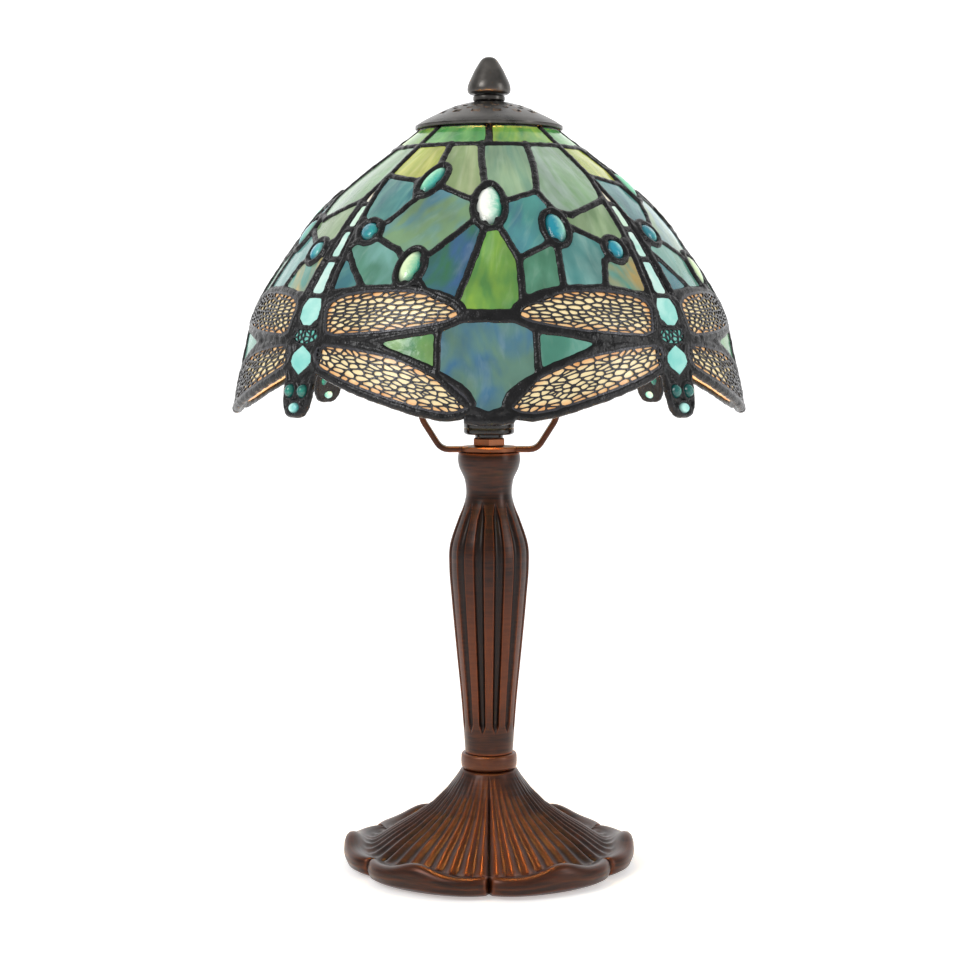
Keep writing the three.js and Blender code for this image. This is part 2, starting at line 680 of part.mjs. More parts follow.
function finialPieces() {
  const threadDepth = 7;
  const outline = [
    [0, threadDepth], [STUD_HOLE_RADIUS, threadDepth], [STUD_HOLE_RADIUS, 0], [9.6, 0],
    [11, 1.6], [10.9, 4], [9.4, 7.8], [7.6, 11.8], [5.1, 16], [3.6, 18.1], [2, 19], [0, 19.1],
  ];
  const collar = washer(8.1, STUD_HOLE_RADIUS, FINIAL_COLLAR_HEIGHT);
  const finialBottom = FINIAL_COLLAR_BOTTOM + FINIAL_COLLAR_HEIGHT + GAP;
  return [
    piece("finial_collar", collar, gunmetal, FINIAL_COLLAR_BOTTOM),
    piece("finial", turned(outline, 24), gunmetal, finialBottom),
  ];
}

// ---- Cable and in-line switch ----------------------------------------------------------

// Down through the rod, round a bend inside the base, and out along the floor to the back.
function cable() {
  const at = (y, z) => new THREE.Vector3(0, y, z);
  const bendTop = at(0, CABLE_HEIGHT + CABLE_BEND_RADIUS - 1);
  const corner = at(0, CABLE_HEIGHT);
  const bendEnd = at(CABLE_BEND_RADIUS, CABLE_HEIGHT);
  const route = new THREE.CurvePath();
  route.add(new THREE.LineCurve3(at(0, HOLDER_BOTTOM + 11), bendTop));
  route.add(new THREE.QuadraticBezierCurve3(bendTop, corner, bendEnd));
  route.add(new THREE.LineCurve3(bendEnd, at(CABLE_END, CABLE_HEIGHT)));
  const section = new THREE.Shape().absarc(0, 0, CABLE_RADIUS, 0, FULL_TURN);
  const tube = new THREE.ExtrudeGeometry(section, { steps: 36, curveSegments: 4, extrudePath: route });
  return piece("cable", tube, blackPlastic);
}

function cableBush() {
  const bush = washer(BUSH_RADIUS, CABLE_RADIUS + GAP, BUSH_LENGTH, 16)
    .rotateX(-Math.PI / 2)
    .translate(0, FELT_RADIUS + 2, CABLE_HEIGHT);
  return piece("cable_bush", bush, blackPlastic);
}

function switchLowerCase(lowerHeight) {
  const { length, width, wall } = SWITCH_SIZE;
  const floor = 1.2;
  const cavity = roundedBlock(width - 2 * wall, length - 2 * wall, lowerHeight, 3)
    .translate(0, 0, floor);
  const cableHole = cylinder(CABLE_RADIUS + GAP, length + 2, 12)
    .rotateX(-Math.PI / 2)
    .translate(0, -length / 2 - 1, CABLE_HEIGHT - GAP);
  const block = roundedBlock(width, length, lowerHeight, 5);
  return piece("switch_lower_case", cut(block, [cableHole, cavity]), blackPlastic, GAP);
}

function switchUpperCase(upperHeight, bottom) {
  const { length, width, wall } = SWITCH_SIZE;
  const windowLength = 2 * (ROCKER.halfLength + 1.4);
  const headroom = roundedBlock(width - 2 * wall, length - 2 * wall, upperHeight, 3)
    .translate(0, 0, -wall);
  const window = new THREE.BoxGeometry(ROCKER.width + 1, windowLength, 3 * upperHeight);
  const block = roundedBlock(width, length, upperHeight, 5);
  return piece("switch_upper_case", cut(block, [headroom, window]), blackPlastic, bottom);
}

// The rocker lies tipped to one side. It is round below, about its pivot.
function switchRocker() {
  const { width, halfLength, pivotHeight, tilt } = ROCKER;
  const undersideRadius = 4.5;
  const outline = new THREE.Shape();
  outline.moveTo(-halfLength, 0);
  outline.absarc(0, 0, undersideRadius, Math.PI, FULL_TURN);
  outline.lineTo(halfLength, 0);
  outline.lineTo(halfLength, 4.6);
  outline.lineTo(0, 3.4);
  outline.lineTo(-halfLength, 4.6);
  const bar = new THREE.ExtrudeGeometry(outline, { depth: width, bevelEnabled: false, curveSegments: 8 })
    .translate(0, 0, -width / 2)
    .rotateX(Math.PI / 2)
    .rotateZ(Math.PI / 2);
  const rocker = piece("switch_rocker", bar, blackPlastic, pivotHeight);
  rocker.rotation.x = -THREE.MathUtils.degToRad(tilt);
  return rocker;
}

function inlineSwitch() {
  const lowerHeight = SWITCH_SIZE.height / 2;
  const upperBottom = GAP + lowerHeight + GAP;
  const group = new THREE.Group();
  group.position.y = SWITCH_DISTANCE;
  group.add(
    switchLowerCase(lowerHeight),
    switchUpperCase(SWITCH_SIZE.height - lowerHeight - GAP, upperBottom),
    switchRocker(),
  );
  return group;
}

// ---- The whole lamp --------------------------------------------------------------------

const lamp = new THREE.Group();
lamp.add(feltPad(), base(), baseWeight(), ...baseFastening());
lamp.add(collarRing(), stem(), threadedRod());
lamp.add(harp(), ...harpFasteners());
lamp.add(...lampholder(), ...bulb());
lamp.add(leadedShade());
lamp.add(seatWasher(), ventCap(), ...finialPieces());
lamp.add(cable(), cableBush(), inlineSwitch());

export default lamp;
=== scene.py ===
"""Table lamp with a leaded-glass dragonfly shade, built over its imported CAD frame.

Lengths are millimetres until a mesh is made, where they become metres. A place on the
shade is (degrees, height): degrees to the right of a sector's middle as seen from
outside, and height above the plane of the shade's rim.
"""

import math
import random

import bpy
import numpy as np
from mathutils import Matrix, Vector, noise
from mathutils.geometry import delaunay_2d_cdt


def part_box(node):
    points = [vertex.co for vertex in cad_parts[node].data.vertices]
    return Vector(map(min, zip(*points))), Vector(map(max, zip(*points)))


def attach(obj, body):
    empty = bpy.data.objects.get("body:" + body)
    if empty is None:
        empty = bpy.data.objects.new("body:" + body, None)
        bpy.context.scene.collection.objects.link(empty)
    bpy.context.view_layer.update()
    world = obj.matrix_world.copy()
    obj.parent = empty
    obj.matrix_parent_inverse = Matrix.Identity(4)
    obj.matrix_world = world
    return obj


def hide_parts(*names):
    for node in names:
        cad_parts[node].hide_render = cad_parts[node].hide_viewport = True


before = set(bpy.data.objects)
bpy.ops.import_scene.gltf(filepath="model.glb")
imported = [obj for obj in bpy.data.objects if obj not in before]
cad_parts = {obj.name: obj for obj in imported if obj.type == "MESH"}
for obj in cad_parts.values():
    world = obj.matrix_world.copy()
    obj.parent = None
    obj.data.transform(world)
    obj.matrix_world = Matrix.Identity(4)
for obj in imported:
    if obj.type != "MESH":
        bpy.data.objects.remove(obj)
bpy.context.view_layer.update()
scene = bpy.context.scene
chance = random.Random(7)

MM = 0.001


def low(node):
    """Height of a CAD node's underside, in millimetres."""
    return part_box(node)[0].z / MM


def high(node):
    """Height of a CAD node's top, in millimetres."""
    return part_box(node)[1].z / MM


# ---- Meshes ----


class Bundle:
    """Points and faces of several solids that share one mesh, with values at each point."""

    def __init__(self):
        self.points = []
        self.faces = []
        self.values = {}

    def add(self, points, faces, **values):
        start = len(self.points)
        self.points.extend(points)
        self.faces.extend([[start + corner for corner in face] for face in faces])
        for key, value in values.items():
            self.values.setdefault(key, []).extend(value)
        return self

    def turned(self, degrees):
        """The same solids turned about the lamp's axis."""
        angle = math.radians(degrees)
        x, y, z = np.array(self.points, float).T
        turned_x = x * math.cos(angle) - y * math.sin(angle)
        turned_y = x * math.sin(angle) + y * math.cos(angle)
        points = np.stack([turned_x, turned_y, z], axis=1)
        return Bundle().add(points, self.faces, **self.values)


def new_object(name, points, faces):
    """A mesh object from points in millimetres."""
    mesh = bpy.data.meshes.new(name)
    mesh.from_pydata((np.array(points, float) * MM).tolist(), [], faces)
    made = bpy.data.objects.new(name, mesh)
    scene.collection.objects.link(made)
    return made


def add_piece(name, bundle, material, body, node=None, crease=40):
    """A bundle as one piece on a CAD body, which takes the place of a node if one is given."""
    piece = new_object(name, bundle.points, bundle.faces)
    mesh = piece.data
    for key, values in bundle.values.items():
        layer = mesh.attributes.new(key, "FLOAT_VECTOR", "POINT")
        layer.data.foreach_set("vector", np.array(values, float).ravel())
    mesh.validate()
    mesh.shade_smooth()
    mesh.set_sharp_from_angle(angle=math.radians(crease))
    mesh.materials.append(material)
    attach(piece, body)
    if node:
        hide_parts(node)


def add_turned_piece(
    name, node, outline, material, body="lamp_body", segments=96, crease=35
):
    """A piece turned about the lamp's axis from where its CAD node starts."""
    bundle = Bundle().add(*turned(outline, low(node), segments))
    add_piece(name, bundle, material, body, node, crease=crease)


def smooth_curve(points, samples):
    """A smooth curve through (position, value) points, evenly sampled along position."""
    positions, values = np.array(points, float).T
    slopes = np.gradient(values, positions)
    places = np.linspace(positions[0], positions[-1], samples)
    index = np.clip(np.searchsorted(positions, places, "right") - 1, 0, len(positions) - 2)
    span = positions[index + 1] - positions[index]
    t = (places - positions[index]) / span
    start = (1 + 2 * t) * (1 - t) ** 2 * values[index] + t * (1 - t) ** 2 * span * slopes[index]
    end = t * t * (3 - 2 * t) * values[index + 1] + t * t * (t - 1) * span * slopes[index + 1]
    return places, start + end


def rounded(corners, radius, steps=4):
    """A closed outline whose corners are cut to short arcs of about this radius."""
    result = []
    corners = [np.array(corner, float) for corner in corners]
    for index, corner in enumerate(corners):
        before = corners[index - 1] - corner
        after = corners[(index + 1) % len(corners)] - corner
        reach = min(radius, np.linalg.norm(before) * 0.45, np.linalg.norm(after) * 0.45)
        start = corner + before / np.linalg.norm(before) * reach
        end = corner + after / np.linalg.norm(after) * reach
        for t in np.linspace(0, 1, steps + 1):
            result.append((1 - t) ** 2 * start + 2 * t * (1 - t) * corner + t * t * end)
    return result


def grid_faces(rows, columns, wrap_rows=False):
    """Quads over rings of points; each ring is closed, and the rings may close too."""
    faces = []
    for row in range(rows if wrap_rows else rows - 1):
        this = row * columns
        after = (row + 1) % rows * columns
        for column in range(columns):
            side = (column + 1) % columns
            faces.append([this + column, this + side, after + side, after + column])
    return faces


def lathe_points(outline, segments):
    """Rings of points, one for each (radius, height) of an outline."""
    radii, heights = np.array(outline, float).T
    angles = np.linspace(0, math.tau, segments, endpoint=False)
    x = np.outer(radii, np.sin(angles))
    y = -np.outer(radii, np.cos(angles))
    z = np.repeat(heights[:, None], segments, axis=1)
    return np.stack([x, y, z], axis=2).reshape(-1, 3)


def turned(outline, bottom, segments=96, shape=None):
    """A closed outline turned about the lamp's axis.

    Where shape is given, it first moves the points, which stand on height 0 for it.
    """
    points = lathe_points(outline, segments)
    if shape:
        points = shape(points)
    points[:, 2] += bottom
    return weld(points, grid_faces(len(outline), segments, wrap_rows=True))


def weld(points, faces):
    """Merges the points that coincide and drops the faces this flattens."""
    keys = {}
    renumbered = []
    for point in np.round(points, 4).tolist():
        renumbered.append(keys.setdefault(tuple(point), len(keys)))
    kept = []
    for face in faces:
        corners = list(dict.fromkeys(renumbered[corner] for corner in face))
        if len(corners) > 2:
            kept.append(corners)
    return list(keys), kept


def sweep(path, across, section, closed=False):
    """A section carried along a path. Its first axis keeps to the across vectors."""
    path = np.array(path, float)
    across = np.array(across, float) * np.ones_like(path)
    ahead = np.roll(path, -1, 0) - np.roll(path, 1, 0)
    if not closed:
        ahead[0] = path[1] - path[0]
        ahead[-1] = path[-1] - path[-2]
    ahead /= np.linalg.norm(ahead, axis=1, keepdims=True)
    across -= ahead * np.sum(ahead * across, axis=1, keepdims=True)
    across /= np.linalg.norm(across, axis=1, keepdims=True)
    upward = np.cross(ahead, across)
    section = np.array(section, float)
    sideways = section[None, :, :1] * across[:, None, :]
    rings = path[:, None, :] + sideways + section[None, :, 1:] * upward[:, None, :]
    count = len(section)
    faces = [face[::-1] for face in grid_faces(len(path), count, wrap_rows=closed)]
    if not closed:
        last = (len(path) - 1) * count
        faces.append(list(range(count)))
        faces.append([last + corner for corner in reversed(range(count))])
    return rings.reshape(-1, 3), faces


def oval(half_width, half_height, sides):
    angles = np.linspace(0, math.tau, sides, endpoint=False)
    return np.stack([half_width * np.cos(angles), half_height * np.sin(angles)], axis=1)


def ramp(value, start, end):
    """0 before the start, 1 past the end and straight in between; it may run downward."""
    return np.clip((value - start) / (end - start), 0, 1)


def pitch_share(points, repeats):
    """Where points lie, from 0 to 1, in a pattern that repeats this often round the axis."""
    return (np.degrees(np.arctan2(points[:, 0], -points[:, 1])) * repeats / 360) % 1.0


# ---- Shader nodes ----


def colour(code):
    """A linear colour from a six-digit hex code."""
    channels = [int(code[place:place + 2], 16) / 255 for place in (0, 2, 4)]
    linear = [c / 12.92 if c <= 0.04045 else ((c + 0.055) / 1.055) ** 2.4 for c in channels]
    return linear + [1.0]


class Shader:
    """One procedural material. Sizes of noises are in millimetres."""

    def __init__(self, name):
        self.material = bpy.data.materials.new(name)
        self.material.use_nodes = True
        self.tree = self.material.node_tree
        self.surface = self.tree.nodes["Principled BSDF"]
        self.place = self.node("TexCoord").outputs["Object"]

    def node(self, kind, **settings):
        node = self.tree.nodes.new("ShaderNode" + kind)
        for key, value in settings.items():
            setattr(node, key, value)
        return node

    def feed(self, socket, value):
        """Links a node's output to a socket, or sets it to a number or a hex colour."""
        if isinstance(value, bpy.types.NodeSocket):
            self.tree.links.new(value, socket)
        else:
            socket.default_value = colour(value) if isinstance(value, str) else value

    def set(self, **inputs):
        """Feeds the surface's inputs; an underscore stands for a space in a name."""
        for name, value in inputs.items():
            self.feed(self.surface.inputs[name.replace("_", " ")], value)

    def attribute(self, name):
        return self.node("Attribute", attribute_name=name).outputs["Vector"]

    def parts(self, vector):
        """The X, Y and Z of a vector."""
        node = self.node("SeparateXYZ")
        self.feed(node.inputs[0], vector)
        return node.outputs

    def stretched(self, vector, x, y, z):
        mapping = self.node("Mapping")
        self.feed(mapping.inputs["Vector"], vector)
        mapping.inputs["Scale"].default_value = (x, y, z)
        return mapping.outputs["Vector"]

    def noise(self, size, detail=3.0, vector=None, distortion=0.0, unit=1000.0):
        """Noise over a vector whose unit is this many millimetres."""
        node = self.node("TexNoise")
        self.feed(node.inputs["Vector"], vector or self.place)
        node.inputs["Scale"].default_value = unit / size
        node.inputs["Detail"].default_value = detail
        node.inputs["Distortion"].default_value = distortion
        return node.outputs["Fac"]

    def cells(self, size):
        node = self.node("TexVoronoi")
        self.feed(node.inputs["Vector"], self.place)
        node.inputs["Scale"].default_value = 1000.0 / size
        return node.outputs["Distance"]

    def ranged(self, value, start, end, low_value=0.0, high_value=1.0):
        node = self.node("MapRange")
        for socket, number in zip(node.inputs, (value, start, end, low_value, high_value)):
            self.feed(socket, number)
        return node.outputs["Result"]

    def maths(self, operation, first, second):
        node = self.node("Math", operation=operation)
        self.feed(node.inputs[0], first)
        self.feed(node.inputs[1], second)
        return node.outputs["Value"]

    def mix(self, factor, first, second, blend="MIX"):
        node = self.node("Mix", data_type="RGBA", blend_type=blend)
        for place, value in ((0, factor), (6, first), (7, second)):
            self.feed(node.inputs[place], value)
        return node.outputs[2]

    def fade(self, value, start, end, first, second):
        """From one colour to another as a value goes from start to end."""
        return self.mix(self.ranged(value, start, end), first, second)

    def bump(self, *layers):
        """Bump from (value, depth in millimetres) layers."""
        normal = None
        for value, depth in layers:
            node = self.node("Bump")
            node.inputs["Distance"].default_value = depth * MM
            self.feed(node.inputs["Height"], value)
            if normal:
                self.feed(node.inputs["Normal"], normal)
            normal = node.outputs["Normal"]
        self.set(Normal=normal)

    def raised_edges(self, start, end):
        """1 on convex edges, where a finish wears, and 0 elsewhere."""
        pointiness = self.node("NewGeometry").outputs["Pointiness"]
        return self.ranged(pointiness, start, end)


# ---- Materials ----


def rubbed_bronze(name, dark, warm, rubbed):
    """Patinated metal: brushed brown, near black in hollows (patina and painted shade), copper
    where rubbed.

    The "finish" attribute holds how hollow a point is (patina and painted shade) and how much
    copper shows: rubbed wear on the stem, a painted warm glow on the front of the base.
    """
    shader = Shader(name)
    cloud = shader.noise(26, distortion=0.4)
    brushed = shader.noise(1.3, vector=shader.stretched(shader.place, 0.1, 0.1, 1))
    finish = shader.parts(shader.attribute("finish"))
    base = shader.fade(cloud, 0.35, 0.7, dark, warm)
    base = shader.mix(shader.ranged(brushed, 0.35, 0.8, 0.0, 0.2), base, rubbed)
    # Copper from the finish's second value: rubbed wear on the stem, painted glow on the base's
    # front.
    patchy = shader.ranged(cloud, 0.25, 0.6, 0.55, 1.0)
    base = shader.mix(shader.maths("MULTIPLY", finish["Y"], patchy), base, rubbed)
    base = shader.mix(shader.raised_edges(0.51, 0.6), base, rubbed)
    # Near black from the finish's first value: patina in the hollows, and painted shade there.
    base = shader.mix(shader.maths("MULTIPLY", finish["X"], 0.85), base, "0d0807")
    roughness = shader.ranged(cloud, 0.3, 0.7, 0.3, 0.44)
    shader.set(Base_Color=base, Metallic=0.7, Roughness=roughness)
    shader.set(Coat_Weight=0.2, Coat_Roughness=0.25)
    shader.bump((brushed, 0.04), (shader.noise(0.8, 2), 0.03))
    return shader.material


def solder():
    """Blackened solder: soft lumps, fine pits and paler wear on the crests."""
    shader = Shader("lead_came")
    lumps = shader.noise(3.2, 4)
    tone = shader.fade(shader.noise(9), 0.35, 0.7, "0b0b0c", "1a191b")
    tone = shader.mix(shader.raised_edges(0.53, 0.66), tone, "4c4c52")
    roughness = shader.ranged(lumps, 0.3, 0.7, 0.2, 0.42)
    shader.set(Base_Color=tone, Metallic=0.35, Roughness=roughness)
    shader.bump((lumps, 0.32), (shader.cells(1.1), 0.12))
    return shader.material


def worked_metal(name, dark, pale, roughness, grain_depth=0.06):
    """A plain metal with faint staining, grain and worn edges."""
    shader = Shader(name)
    stain = shader.noise(14, 4, distortion=0.4)
    base = shader.fade(stain, 0.3, 0.75, dark, pale)
    base = shader.mix(shader.raised_edges(0.54, 0.66), base, "8c8782")
    mottled = shader.ranged(stain, 0.3, 0.7, roughness - 0.06, roughness + 0.1)
    shader.set(Base_Color=base, Metallic=0.85, Roughness=mottled)
    shader.bump((shader.noise(1.2), grain_depth))
    return shader.material


def moulded_plastic():
    shader = Shader("black_plastic")
    smudge = shader.noise(16)
    base = shader.fade(smudge, 0.3, 0.7, "070708", "101011")
    shader.set(Base_Color=base, Roughness=shader.ranged(smudge, 0.3, 0.7, 0.16, 0.28))
    shader.bump((shader.noise(0.7, 2), 0.03))
    return shader.material


def felt_fibres():
    shader = Shader("felt")
    fibres = shader.noise(0.9, 5, distortion=2.5)
    base = shader.mix(fibres, "17191a", "2f3232")
    shader.set(Base_Color=base, Roughness=0.97, Sheen_Weight=0.5)
    shader.bump((fibres, 0.5))
    return shader.material


def glazed_ceramic():
    shader = Shader("ceramic")
    specks = shader.noise(1.4)
    base = shader.fade(specks, 0.55, 0.7, "ddd8cc", "b8ac98")
    shader.set(Base_Color=base, Roughness=shader.ranged(specks, 0.3, 0.7, 0.3, 0.5))
    shader.bump((specks, 0.05))
    return shader.material


BULB_STRENGTH = 14.0


def lit_bulb():
    """Frosted bulb glass, lit: whitest above and warmer towards the cap."""
    shader = Shader("opal_glass")
    frost = shader.noise(0.8)
    bottom, top = low("bulb_glass") * MM, high("bulb_glass") * MM
    height = shader.ranged(shader.parts(shader.place)["Z"], bottom, top)
    glow = shader.fade(height, 0.0, 0.35, "ffb060", "fff1d6")
    shader.set(Base_Color="f3ecdd", Roughness=shader.ranged(frost, 0.3, 0.7, 0.25, 0.45))
    shader.set(Emission_Color=glow, Emission_Strength=BULB_STRENGTH)
    shader.bump((frost, 0.04))
    return shader.material


DAYLIGHT_SHARE = 0.4  # how much of the lit glass's tint shows as daylight on it
GLOW_STRENGTH = 0.68  # and how strongly the bulb's light comes through it


def lit_glass(shader, tint, roughness):
    """Shows a tint partly as daylight on the glass and partly as light through it."""
    dim = shader.mix(1.0, tint, [DAYLIGHT_SHARE] * 3 + [1.0], blend="MULTIPLY")
    shader.set(Base_Color=dim, Roughness=roughness, Coat_Weight=0.22, Coat_Roughness=0.1)
    shader.set(Emission_Color=tint, Emission_Strength=GLOW_STRENGTH)


def streaky_glass():
    """Opalescent sheet glass: each pane's two tints run in streaks, with pale wisps."""
    shader = Shader("streaky_glass")
    along = shader.attribute("streak")
    broad = shader.noise(15, 2, shader.stretched(along, 0.5, 1, 1), 0.9, unit=1.0)
    fine = shader.noise(5, 4, shader.stretched(along, 0.3, 1, 1), 0.5, unit=1.0)
    cloud = shader.noise(24, 3, along, unit=1.0)
    share = shader.maths("ADD", broad, shader.maths("MULTIPLY", fine, 0.25))
    tints = shader.attribute("tint"), shader.attribute("tint_two")
    tint = shader.fade(share, 0.5, 0.76, *tints)
    tint = shader.mix(shader.ranged(fine, 0.55, 0.8, 0.0, 0.16), tint, "cfe3cf")
    shade = shader.ranged(cloud, 0.3, 0.7, 0.62, 1.0)
    tint = shader.mix(1.0, tint, shade, blend="MULTIPLY")
    lit_glass(shader, tint, shader.ranged(fine, 0.3, 0.7, 0.1, 0.24))
    shader.bump((shader.noise(7, 2), 0.28), (fine, 0.08))
    return shader.material


def turquoise_glass():
    """Milky turquoise glass with soft lighter clouds."""
    shader = Shader("turquoise_glass")
    cloud = shader.noise(8, 4, distortion=0.5)
    tint = shader.fade(cloud, 0.35, 0.7, shader.attribute("tint"), shader.attribute("tint_two"))
    lit_glass(shader, tint, shader.ranged(cloud, 0.3, 0.7, 0.1, 0.2))
    shader.bump((shader.noise(3, 2), 0.15))
    return shader.material


def wobbling(shader, value, ripple, amount):
    """A value made uneven by a ripple."""
    wobble = shader.maths("MULTIPLY", shader.maths("SUBTRACT", ripple, 0.5), amount)
    return shader.maths("ADD", value, wobble)


def jewel_glass():
    """Domed jewels: deep tint on one side, running to a bright caustic on the other."""
    shader = Shader("jewel_glass")
    facing = shader.parts(shader.attribute("facing"))
    ripple = shader.noise(2.6, 4, distortion=1.2)
    across = wobbling(shader, facing["X"], ripple, 0.9)
    deep = shader.mix(ripple, shader.attribute("tint"), "38b79c")
    tint = shader.fade(across, -0.2, 0.8, shader.attribute("tint_two"), deep)
    # Painted shade: each jewel's tint darkens towards the rim of its dome.
    tint = shader.fade(facing["Z"], 0.62, 0.98, tint, "0c3a38")
    lit_glass(shader, tint, 0.06)
    shader.bump((ripple, 0.3))
    return shader.material


def wing_glass():
    """Cream glass behind the wings' filigree, warmer near the edge of each wing."""
    shader = Shader("wing_glass")
    cloud = shader.noise(7)
    edge = wobbling(shader, shader.parts(shader.attribute("facing"))["Z"], cloud, 0.7)
    tint = shader.fade(edge, 0.45, 1.05, "ffe9b4", "f0a25a")
    lit_glass(shader, tint, 0.3)
    shader.bump((cloud, 0.2))
    return shader.material


def sheet_paper():
    """Pale matt paper for the floor and the wall behind."""
    shader = Shader("backdrop")
    fibre = shader.noise(3, 2)
    base = shader.mix(fibre, "f6f6f6", "fcfcfc")
    shader.set(Base_Color=base, Roughness=0.9, Specular_IOR_Level=0.1)
    shader.set(Emission_Color=base, Emission_Strength=0.45)
    shader.bump((fibre, 0.02))
    return shader.material


BRONZE = rubbed_bronze("bronze", "180e0b", "27130d", "86431a")
COPPER = rubbed_bronze("copper_bronze", "371c12", "532b17", "8a5230")
GUNMETAL = worked_metal("gunmetal", "393836", "6a6662", roughness=0.3)
SOLDER = solder()
STEEL = worked_metal("steel", "6f6f70", "9a9a9a", roughness=0.32)
CAST_IRON = worked_metal("cast_iron", "2d2d2e", "4b4a49", roughness=0.62, grain_depth=0.4)
PLASTIC = moulded_plastic()
FELT = felt_fibres()
CERAMIC = glazed_ceramic()
BULB = lit_bulb()
STREAKY = streaky_glass()
TURQUOISE = turquoise_glass()
JEWEL = jewel_glass()
WING = wing_glass()


# ---- The dome the shade's glass lies on ----

RIM_PLANE = low("shade_leading") - 0.2
DOME_PROFILE = [(0, 129.5), (31, 123.2), (53, 117.8), (77, 104), (109.5, 78), (146.5, 32.2)]
DOME_HEIGHTS, DOME_RADII = smooth_curve(DOME_PROFILE, 300)
DOME_SLOPES = np.gradient(DOME_RADII, DOME_HEIGHTS)
FLAT_RADIUS = 112.0  # the dome's radius among the wings, where degrees are laid out flat
SECTORS = 4
DRAGONFLY = 45.0  # from a sector's middle to the dragonfly at its right-hand side


def dome_normal(places):
    degrees, heights = np.array(places, float).T
    slope = np.interp(heights, DOME_HEIGHTS, DOME_SLOPES)
    length = np.hypot(1, slope)
    angle = np.radians(degrees)
    return np.stack([np.sin(angle), -np.cos(angle), -slope], axis=1) / length[:, None]


def on_dome(places, outward=0.0):
    """Points for places on the dome, moved outward from the glass's middle."""
    degrees, heights = np.array(places, float).T
    radius = np.interp(heights, DOME_HEIGHTS, DOME_RADII)
    angle = np.radians(degrees)
    middle = np.stack([radius * np.sin(angle), -radius * np.cos(angle), heights + RIM_PLANE], 1)
    return middle + dome_normal(places) * np.reshape(outward, (-1, 1))


def to_flat(places):
    return [(math.radians(degrees) * FLAT_RADIUS, height) for degrees, height in places]


def from_flat(points):
    return [(math.degrees(x / FLAT_RADIUS), y) for x, y in points]


def leaned_flat(offsets, centre, lean):
    """Offsets in true millimetres round a place on the dome, leaned and laid out flat."""
    swing = math.radians(lean)
    stretch = FLAT_RADIUS / float(np.interp(centre[1], DOME_HEIGHTS, DOME_RADII))
    middle_x, middle_y = to_flat([centre])[0]
    flat = []
    for x, y in offsets:
        turned_x = x * math.cos(swing) - y * math.sin(swing)
        turned_y = x * math.sin(swing) + y * math.cos(swing)
        flat.append((middle_x + turned_x * stretch, middle_y + turned_y))
    return flat


# ---- Flat outlines ----


def area(loop):
    x, y = np.array(loop, float).T
    return 0.5 * float(np.sum(x * np.roll(y, -1) - y * np.roll(x, -1)))


def mirrored(loop):
    return [(-x, y) for x, y in loop][::-1]


def moved(loop, degrees):
    """A flat outline moved round the dome."""
    return [(x + math.radians(degrees) * FLAT_RADIUS, y) for x, y in loop]


def anticlockwise(loop):
    return loop if area(loop) > 0 else loop[::-1]


def refined(loop, spacing, closed=True):
    """The same outline with points no further apart than the spacing."""
    result = []
    count = len(loop) if closed else len(loop) - 1
    for index in range(count):
        start = np.array(loop[index], float)
        end = np.array(loop[(index + 1) % len(loop)], float)
        steps = max(1, math.ceil(np.linalg.norm(end - start) / spacing))
        result.extend(start + (end - start) * step / steps for step in range(steps))
    if not closed:
        result.append(np.array(loop[-1], float))
    return result


def softened(loop):
    """An outline with each corner cut away, a quarter along the sides that meet there."""
    cut = []
    for index, corner in enumerate(loop):
        corner = np.array(corner, float)
        after = np.array(loop[(index + 1) % len(loop)], float)
        cut.extend([corner * 0.75 + after * 0.25, corner * 0.25 + after * 0.75])
    return cut


def inset(loop, distance):
    """An anticlockwise outline moved inward by a distance, corner by corner."""
    result = []
    loop = [np.array(corner, float) for corner in loop]
    for index, corner in enumerate(loop):
        incoming = corner - loop[index - 1]
        outgoing = loop[(index + 1) % len(loop)] - corner
        incoming /= np.linalg.norm(incoming)
        outgoing /= np.linalg.norm(outgoing)
        normal = np.array([-incoming[1] - outgoing[1], incoming[0] + outgoing[0]])
        normal /= max(np.linalg.norm(normal), 0.001)
        stretch = max(normal[1] * incoming[0] - normal[0] * incoming[1], 0.5)
        result.append(corner + normal * distance / stretch)
    return result


def inside(point, loop):
    """Whether a point lies in an outline, by counting crossings."""
    x, y = point
    crossings = 0
    for index, (x1, y1) in enumerate(loop):
        x2, y2 = loop[(index + 1) % len(loop)]
        if (y1 > y) != (y2 > y) and x < (x2 - x1) * (y - y1) / (y2 - y1) + x1:
            crossings += 1
    return crossings % 2 == 1


def clipped(loop, point, normal):
    """The part of a convex outline on the far side of a line from its normal."""
    result = []
    for index, corner in enumerate(loop):
        after = loop[(index + 1) % len(loop)]
        here = (corner[0] - point[0]) * normal[0] + (corner[1] - point[1]) * normal[1]
        there = (after[0] - point[0]) * normal[0] + (after[1] - point[1]) * normal[1]
        if here <= 0:
            result.append(corner)
        if (here < 0 < there) or (there < 0 < here):
            t = here / (here - there)
            x = corner[0] + t * (after[0] - corner[0])
            result.append((x, corner[1] + t * (after[1] - corner[1])))
    return result


def filling(loop, spacing):
    """A grid of points inside an outline, which lets a bent sheet follow the dome."""
    corners = np.array(loop)
    margin = inset(loop, spacing * 0.5)
    columns = np.arange(corners[:, 0].min(), corners[:, 0].max(), spacing)
    rows = np.arange(corners[:, 1].min(), corners[:, 1].max(), spacing)
    return [(x, y) for x in columns for y in rows if inside((x, y), margin)]


